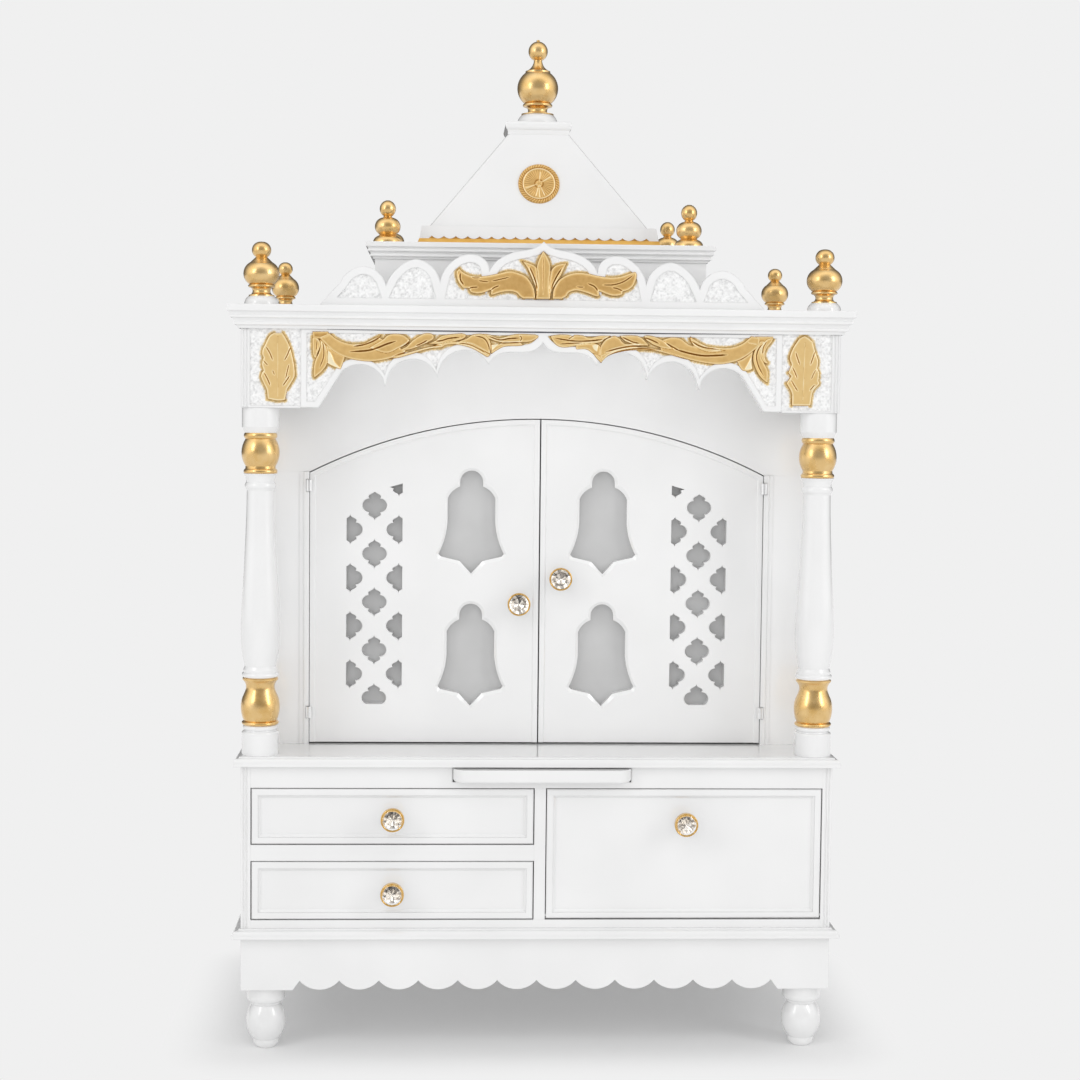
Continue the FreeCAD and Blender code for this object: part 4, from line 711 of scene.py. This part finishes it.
def tray_slot_lining():
    """Lipping strips glued in the tray's slot, half a millimetre off the tray at its top and ends."""
    low, high = box_mm("pull_out_tray")
    soffit = box_mm("counter_top")[0][2]
    face = box_mm("frame_rails")[0][1]
    off, reach, depth = 0.5, 1.6, 14.0
    strips = [((low[0] - 1.45, high[0] + 1.45), (high[2] + off, soffit + 0.2)),
              ((low[0] - reach, low[0] - off), (low[2] - 1.4, soffit)),
              ((high[0] + off, high[0] + reach), (low[2] - 1.4, soffit))]
    for k, ((x0, x1), (z0, z1)) in enumerate(strips):
        middle_x, middle_z = (x0 + x1) / 2, (z0 + z1) / 2
        points = []
        for y, share in ((face + 0.15, 0.8), (face + 0.4, 1.0), (face + depth, 1.0)):
            points += [(middle_x + share * (x - middle_x), y, middle_z + share * (z - middle_z))
                       for x, z in ((x0, z0), (x1, z0), (x1, z1), (x0, z1))]
        number = np.arange(12).reshape(3, 4)
        faces = [[0, 1, 2, 3]] + grid_faces(np.hstack([number, number[:, :1]]))
        build("tray_lipping_" + str(k + 1), points, faces, finishes["white_lacquer"],
              "carcass")


seam_shadow_strip()
tray_slot_lining()


def noise_grid(rows, columns, cells, seed):
    """Smooth noise between -1 and 1 on a grid, with the given number of grid steps to a lump."""
    rng = np.random.default_rng(seed)
    coarse = rng.uniform(-1, 1, (int(rows / cells) + 3, int(columns / cells) + 3))
    r = np.arange(rows) / cells
    c = np.arange(columns) / cells
    ri, ci = r.astype(int), c.astype(int)
    fr = (r - ri)[:, None]
    fc = (c - ci)[None, :]
    fr = fr * fr * (3 - 2 * fr)
    fc = fc * fc * (3 - 2 * fc)
    top = coarse[ri][:, ci] * (1 - fc) + coarse[ri][:, ci + 1] * fc
    low = coarse[ri + 1][:, ci] * (1 - fc) + coarse[ri + 1][:, ci + 1] * fc
    return top * (1 - fr) + low * fr


def punched_ground(name, node, face_y, near, seed):
    """The ground behind the carving, stippled all over with a punch, laid into the sunk field."""
    ground_y = face_y + field_sunk
    mesh = frame["nodes"][node].data
    corners = np.array([v.co for v in mesh.vertices]) / mm
    mesh.calc_loop_triangles()
    fields = [corners[list(t.vertices)] for t in mesh.loop_triangles]
    fields = [t[:, [0, 2]] for t in fields if np.abs(t[:, 1] - ground_y).max() < 0.05]
    every = np.vstack(fields)
    low, high = every.min(axis=0) - ground_step, every.max(axis=0) + ground_step
    x, z = np.meshgrid(np.arange(low[0], high[0], ground_step), np.arange(low[1], high[1], ground_step))
    inside = np.zeros(x.shape, bool)
    for a, b, c in fields:
        left, right = min(a[0], b[0], c[0]), max(a[0], b[0], c[0])
        bottom, top = min(a[1], b[1], c[1]), max(a[1], b[1], c[1])
        i0, i1 = int((left - low[0]) / ground_step), int((right - low[0]) / ground_step) + 2
        k0, k1 = int((bottom - low[1]) / ground_step), int((top - low[1]) / ground_step) + 2
        px, pz = x[k0:k1, i0:i1], z[k0:k1, i0:i1]
        whole = (b[0] - a[0]) * (c[1] - a[1]) - (b[1] - a[1]) * (c[0] - a[0])
        if abs(whole) < 1e-6:
            continue
        u = ((px - a[0]) * (c[1] - a[1]) - (pz - a[1]) * (c[0] - a[0])) / whole
        v = ((b[0] - a[0]) * (pz - a[1]) - (b[1] - a[1]) * (px - a[0])) / whole
        inside[k0:k1, i0:i1] |= (u >= -1e-6) & (v >= -1e-6) & (u + v <= 1 + 1e-6)
    shape = x.shape
    lumps = noise_grid(*shape, punch_pitch / ground_step, seed)
    grit = noise_grid(*shape, 0.5 * punch_pitch / ground_step, seed + 1)
    height = ground_skin + punch_depth * np.clip(0.5 + 0.6 * lumps + 0.5 * grit, 0, 1)
    grown = inside.copy()
    grown[1:, :] |= inside[:-1, :]
    grown[:-1, :] |= inside[1:, :]
    grown[:, 1:] |= inside[:, :-1]
    grown[:, :-1] |= inside[:, 1:]
    number = numbered(grown)
    drift = np.zeros(shape)
    edge = np.vstack([outlines[one][::4] for one in near])
    for k in range(shape[0]):
        gaps = np.hypot(edge[:, 0][None, :] - x[k][:, None], edge[:, 1][None, :] - z[k][:, None])
        drift[k] = np.clip(1 - gaps.min(axis=1) / dust_reach, 0, 1)
    points = np.stack([x[grown], ground_y - height[grown], z[grown]], axis=1)
    piece = build(name, points, grid_faces(number), punched_white, "carcass",
                  drift[grown], "gold_drift")
    # How high each point stands, kept so the pits can be painted greyer as painted shade.
    pit_shade = piece.data.attributes.new("pit_shade", "FLOAT", "POINT")
    pit_shade.data.foreach_set("value", (height[grown] / (ground_skin + punch_depth)).astype(np.float32))


punched_ground("valance_ground", "front_valance", valance_face, ("left_swag", "right_swag"), 11)
punched_ground("block_ground", "corner_blocks", block_face, ("left_plaque", "right_plaque"), 23)
punched_ground("crest_ground", "front_crest", crest_face, ("crest_wings",), 37)


def bead(share, middle, half):
    """A round bead across the radius, from 0 at its edges to 1 along its middle."""
    return np.clip(1 - ((share - middle) / half) ** 2, 0, 1) ** 0.5


def roof_medallion():
    """The round boss on the roof: a rope rim, a bright ring and flutes that fan from a small knob."""
    mesh = frame["nodes"]["roof_medallion"].data
    corners = np.array([v.co for v in mesh.vertices]) / mm
    low, high = box_mm("roof_medallion")
    radius = (high[0] - low[0]) / 2
    spread = corners - corners.mean(axis=0)
    out = np.linalg.svd(spread.T @ spread)[0][:, 2]
    out = -out if out[1] > 0 else out
    side = np.array([1.0, 0.0, 0.0])
    upward = np.cross(out, side)
    foot = (corners @ out).min()
    middle = np.array([(low[0] + high[0]) / 2, corners[:, 1].mean(), corners[:, 2].mean()])
    middle += out * (foot - middle @ out)
    rr, tt = np.meshgrid(np.linspace(0, 1, 46) ** 0.9, np.linspace(0, 2 * math.pi, 264, endpoint=False))
    rope = bead(rr, 0.9, 0.1)
    strands = 0.5 + 0.5 * np.cos(rope_turns * tt + 9 * (rr - 0.9) / 0.1 * 0.35)
    ring = bead(rr, 0.765, 0.035)
    fan = np.clip((0.74 - rr) / 0.08, 0, 1) * np.clip((rr - 0.16) / 0.1, 0, 1)
    flutes = np.abs(np.sin(fan_flutes / 2 * tt))
    rays = np.zeros(rr.shape)
    for angle, length in ((1.45, 0.6), (0.55, 0.68), (3.5, 0.7), (4.5, 0.66), (4.75, 0.7), (5.15, 0.66)):
        away = np.abs((tt - angle + math.pi) % (2 * math.pi) - math.pi) * rr
        rays = np.maximum(rays, np.exp(-(away / 0.03) ** 2) * (rr < length) * (rr > 0.12))
    boss = bead(rr, 0.0, 0.17)
    knobs = np.clip(1 - ((rr - 0.1) / 0.05) ** 2, 0, 1) * (0.5 + 0.5 * np.cos(5 * tt + 0.6))
    height = 1.1 + rope * (1.3 + strands) + 1.3 * ring + fan * (0.5 * flutes - 0.2)
    height += 0.9 * rays + 1.6 * boss + 0.8 * knobs
    height[rr > 0.995] = 0.0
    # Painted shade and highlight in the tone: paler on the rope's strands, the ring and the rays as painted
    # highlight, darker between the strands and in the grooves round the knob and between ring and rope as
    # painted shade.
    tone = 0.42 + 0.3 * rope * (strands - 0.6) + 0.5 * ring + 0.25 * fan * (flutes - 0.6) + 0.5 * rays
    tone += 0.25 * knobs - 0.35 * np.clip(1 - np.abs(rr - 0.2) / 0.04, 0, 1)
    tone -= 0.3 * np.clip(1 - np.abs(rr - 0.81) / 0.03, 0, 1)
    points = (middle + (rr * radius * np.cos(tt))[..., None] * side
              + (rr * radius * np.sin(tt))[..., None] * upward + height[..., None] * out)
    number = np.arange(rr.size).reshape(rr.shape)
    faces = grid_faces(np.vstack([number, number[:1]]))
    piece = build("medallion", points.reshape(-1, 3), faces, carved_gold, "carcass",
                  np.clip(tone, 0, 1).ravel(), "rubbed")
    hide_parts("roof_medallion")


roof_medallion()


def cut_stone(name, body):
    """A knob's crystal: a flat table, two rings of facets in front and a foiled cone of facets behind."""
    low, high = box_mm(name + "_knob_crystal")
    centre_x, centre_z = (low[0] + high[0]) / 2, (low[2] + high[2]) / 2
    radius = (high[0] - low[0]) / 2
    depth = high[1] - low[1]
    half_turn = math.pi / crystal_facets
    rings = ((0.5, 0.0, 0.0), (0.84, 0.1, half_turn), (1.07, 0.3, 0.0), (0.62, 0.68, half_turn))

    def ring(share, back, twist, grow):
        turns = [2 * half_turn * i + twist for i in range(crystal_facets)]
        return [(centre_x + (share * radius + grow) * math.cos(t), low[1] + back * depth + grow,
                 centre_z + (share * radius + grow) * math.sin(t)) for t in turns]

    points = [p for share, back, twist in rings for p in ring(share, back, twist, 0.0)]
    n = crystal_facets
    tip = len(points)
    points.append((centre_x, low[1] + 0.97 * depth, centre_z))
    faces = [list(range(n))]
    for level in range(3):
        for i in range(n):
            a, b = level * n + i, level * n + (i + 1) % n
            c, d = (level + 1) * n + i, (level + 1) * n + (i + 1) % n
            if rings[level][2] > 0:
                faces += [[a, b, d], [a, d, c]]
            else:
                faces += [[a, b, c], [b, d, c]]
    faces += [[3 * n + i, 3 * n + (i + 1) % n, tip] for i in range(n)]
    stone = build(name + "_stone", points, faces, finishes["crystal"], body, smooth=False)
    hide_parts(name + "_knob_crystal")
    backs = [p for share, back, twist in rings[2:] for p in ring(share, back, twist, 0.06)]
    backs.append((centre_x, low[1] + 0.985 * depth, centre_z))
    plates = []
    for i in range(n):
        a, b, c, d = i, (i + 1) % n, n + i, n + (i + 1) % n
        plates += [[a, b, c], [b, d, c], [c, d, 2 * n]]
    corners = [backs[k] for plate in plates for k in plate]
    apart = [[3 * k, 3 * k + 1, 3 * k + 2] for k in range(len(plates))]
    # Painted reflection on the foil: each facet gets a random brightness, lowered on the upper facets as
    # painted shade.
    chance = np.random.default_rng(len(name))
    painted_reflections = []
    for plate in plates:
        height = (sum(backs[k][2] for k in plate) / 3 - centre_z) / radius
        painted_reflections += 3 * [float(np.clip(chance.uniform(0.05, 1.0) - 0.4 * max(height, 0.0), 0, 1))]
    build(name + "_foil", corners, apart, foil, body, painted_reflections, "painted_reflection", smooth=False)


for knob, body in (("lower_drawer", "lower_drawer"), ("upper_drawer", "upper_drawer"),
                   ("flap", "drop_flap"), ("left_door", "left_door"), ("right_door", "right_door")):
    cut_stone(knob, body)
    frame["nodes"][knob + "_knob_cup"].visible_diffuse = False

# The camera stands where the photograph was taken from
camera_place = (-0.1219, -2.7310, 0.8075)
yaw, pitch, roll = math.radians(2.738), math.radians(-3.823), math.radians(0.587)
focal_pixels, photo_pixels, sensor_mm = 2065.6, 1080, 36
forward = Vector((math.sin(yaw) * math.cos(pitch), math.cos(yaw) * math.cos(pitch), math.sin(pitch)))
level = Vector((math.cos(yaw), -math.sin(yaw), 0.0))
upright = level.cross(forward)
right = math.cos(roll) * level + math.sin(roll) * upright
up = math.cos(roll) * upright - math.sin(roll) * level
camera = bpy.data.objects.new("camera", bpy.data.cameras.new("camera"))
camera.data.lens = focal_pixels / photo_pixels * sensor_mm
camera.matrix_world = Matrix.Translation(camera_place) @ Matrix((right, up, -forward)).transposed().to_4x4()
bpy.context.scene.collection.objects.link(camera)
bpy.context.scene.camera = camera


def studio_floor():
    """A pale matt floor that fades into the backdrop round the piece, so no horizon shows."""
    made, tree, shader = finish("paper_floor", Base_Color=linear("#F4F4F4"), Roughness=0.9)
    shader.inputs["Specular IOR Level"].default_value = 0.0
    footprint = (0.34, 0.19, 0.0)
    place = add(tree, "NewGeometry").outputs["Position"]
    spread = add(tree, "VectorMath", {"operation": "ABSOLUTE"}, in0=place)
    beyond = add(tree, "VectorMath", {"operation": "SUBTRACT"}, in0=spread.outputs[0], in1=footprint)
    outside = add(tree, "VectorMath", {"operation": "MAXIMUM"}, in0=beyond.outputs[0], in1=(0, 0, 0))
    away = add(tree, "VectorMath", {"operation": "LENGTH"}, in0=outside.outputs[0])
    far = add(tree, "MapRange", {"interpolation_type": "SMOOTHSTEP"}, Value=away.outputs["Value"],
              From_Max=0.13, To_Min=0.1)
    glow = add(tree, "Emission", Color=linear(studio_white), Strength=1.0)
    blend = add(tree, "MixShader", Fac=far.outputs[0], in1=shader.outputs[0], in2=glow.outputs[0])
    tree.links.new(blend.outputs[0], tree.nodes["Material Output"].inputs["Surface"])
    floor = bpy.data.objects.new("floor", bpy.data.meshes.new("floor"))
    floor.data.from_pydata([(-9, -9, 0), (9, -9, 0), (9, 9, 0), (-9, 9, 0)], [], [(0, 1, 2, 3)])
    bpy.context.scene.collection.objects.link(floor)
    floor.data.materials.append(made)


def studio_world():
    """Even light from all round, brighter at the sides than before and behind in what the gloss mirrors.

    Seen directly it is the plain white backdrop."""
    world = bpy.data.worlds.new("studio")
    world.use_nodes = True
    tree = world.node_tree
    path = add(tree, "LightPath")
    seen = add(tree, "Math", {"operation": "MAXIMUM"}, in0=path.outputs["Is Camera Ray"],
               in1=path.outputs["Is Transmission Ray"])
    across = add(tree, "SeparateXYZ", Vector=add(tree, "TexCoord").outputs["Generated"]).outputs["Y"]
    mirrored = ramp(tree, add(tree, "MapRange", Value=across, From_Min=-1.0, From_Max=1.0).outputs[0],
                    (0.0, "#929292"), (0.1, "#A6A6A6"), (0.28, "#FFFFFF"), (0.5, "#E2E2E2"),
                    (0.72, "#8E8E8E"), (0.88, "#545454"))
    shiny = add(tree, "Background", Color=mirrored, Strength=gloss_light)
    diffuse = add(tree, "Background", Color=(1.0, 1.0, 1.0, 1.0), Strength=room_light)
    backdrop = add(tree, "Background", Color=linear(studio_white), Strength=1.0)
    unseen = add(tree, "MixShader", Fac=path.outputs["Is Glossy Ray"], in1=diffuse.outputs[0],
                 in2=shiny.outputs[0])
    whole = add(tree, "MixShader", Fac=seen.outputs[0], in1=unseen.outputs[0], in2=backdrop.outputs[0])
    tree.links.new(whole.outputs[0], tree.nodes["World Output"].inputs["Surface"])
    bpy.context.scene.world = world


def softbox(name, place, aim, width, height, power, mirrored=True):
    """One rectangular studio lamp, which the gloss doesn't mirror where mirrored is off."""
    lamp = bpy.data.lights.new(name, "AREA")
    lamp.shape = "RECTANGLE"
    lamp.size = width
    lamp.size_y = height
    lamp.energy = power
    box = bpy.data.objects.new(name, lamp)
    box.location = place
    box.rotation_euler = (Vector(aim) - Vector(place)).to_track_quat("-Z", "Y").to_euler()
    box.visible_glossy = mirrored
    box.visible_camera = False
    bpy.context.scene.collection.objects.link(box)


studio_floor()
studio_world()
softbox("front_softbox", (-0.2, -3.3, 1.1), (0, 0, 0.65), 2.8, 2.2, 16, mirrored=False)
softbox("high_softbox", (-0.5, -1.9, 2.7), (0, 0, 0.6), 1.5, 1.1, 6, mirrored=False)
softbox("left_softbox", (-2.0, -1.9, 1.7), (0, 0, 0.65), 0.6, 1.3, 8)
softbox("canopy_fill", (0, -0.15, 0.885), (0, -0.13, 0.4), 0.56, 0.03, 0.065, mirrored=False)
softbox("right_softbox", (2.1, -1.7, 1.5), (0, 0, 0.65), 0.6, 1.3, 10)
bpy.context.scene.view_settings.view_transform = "Standard"
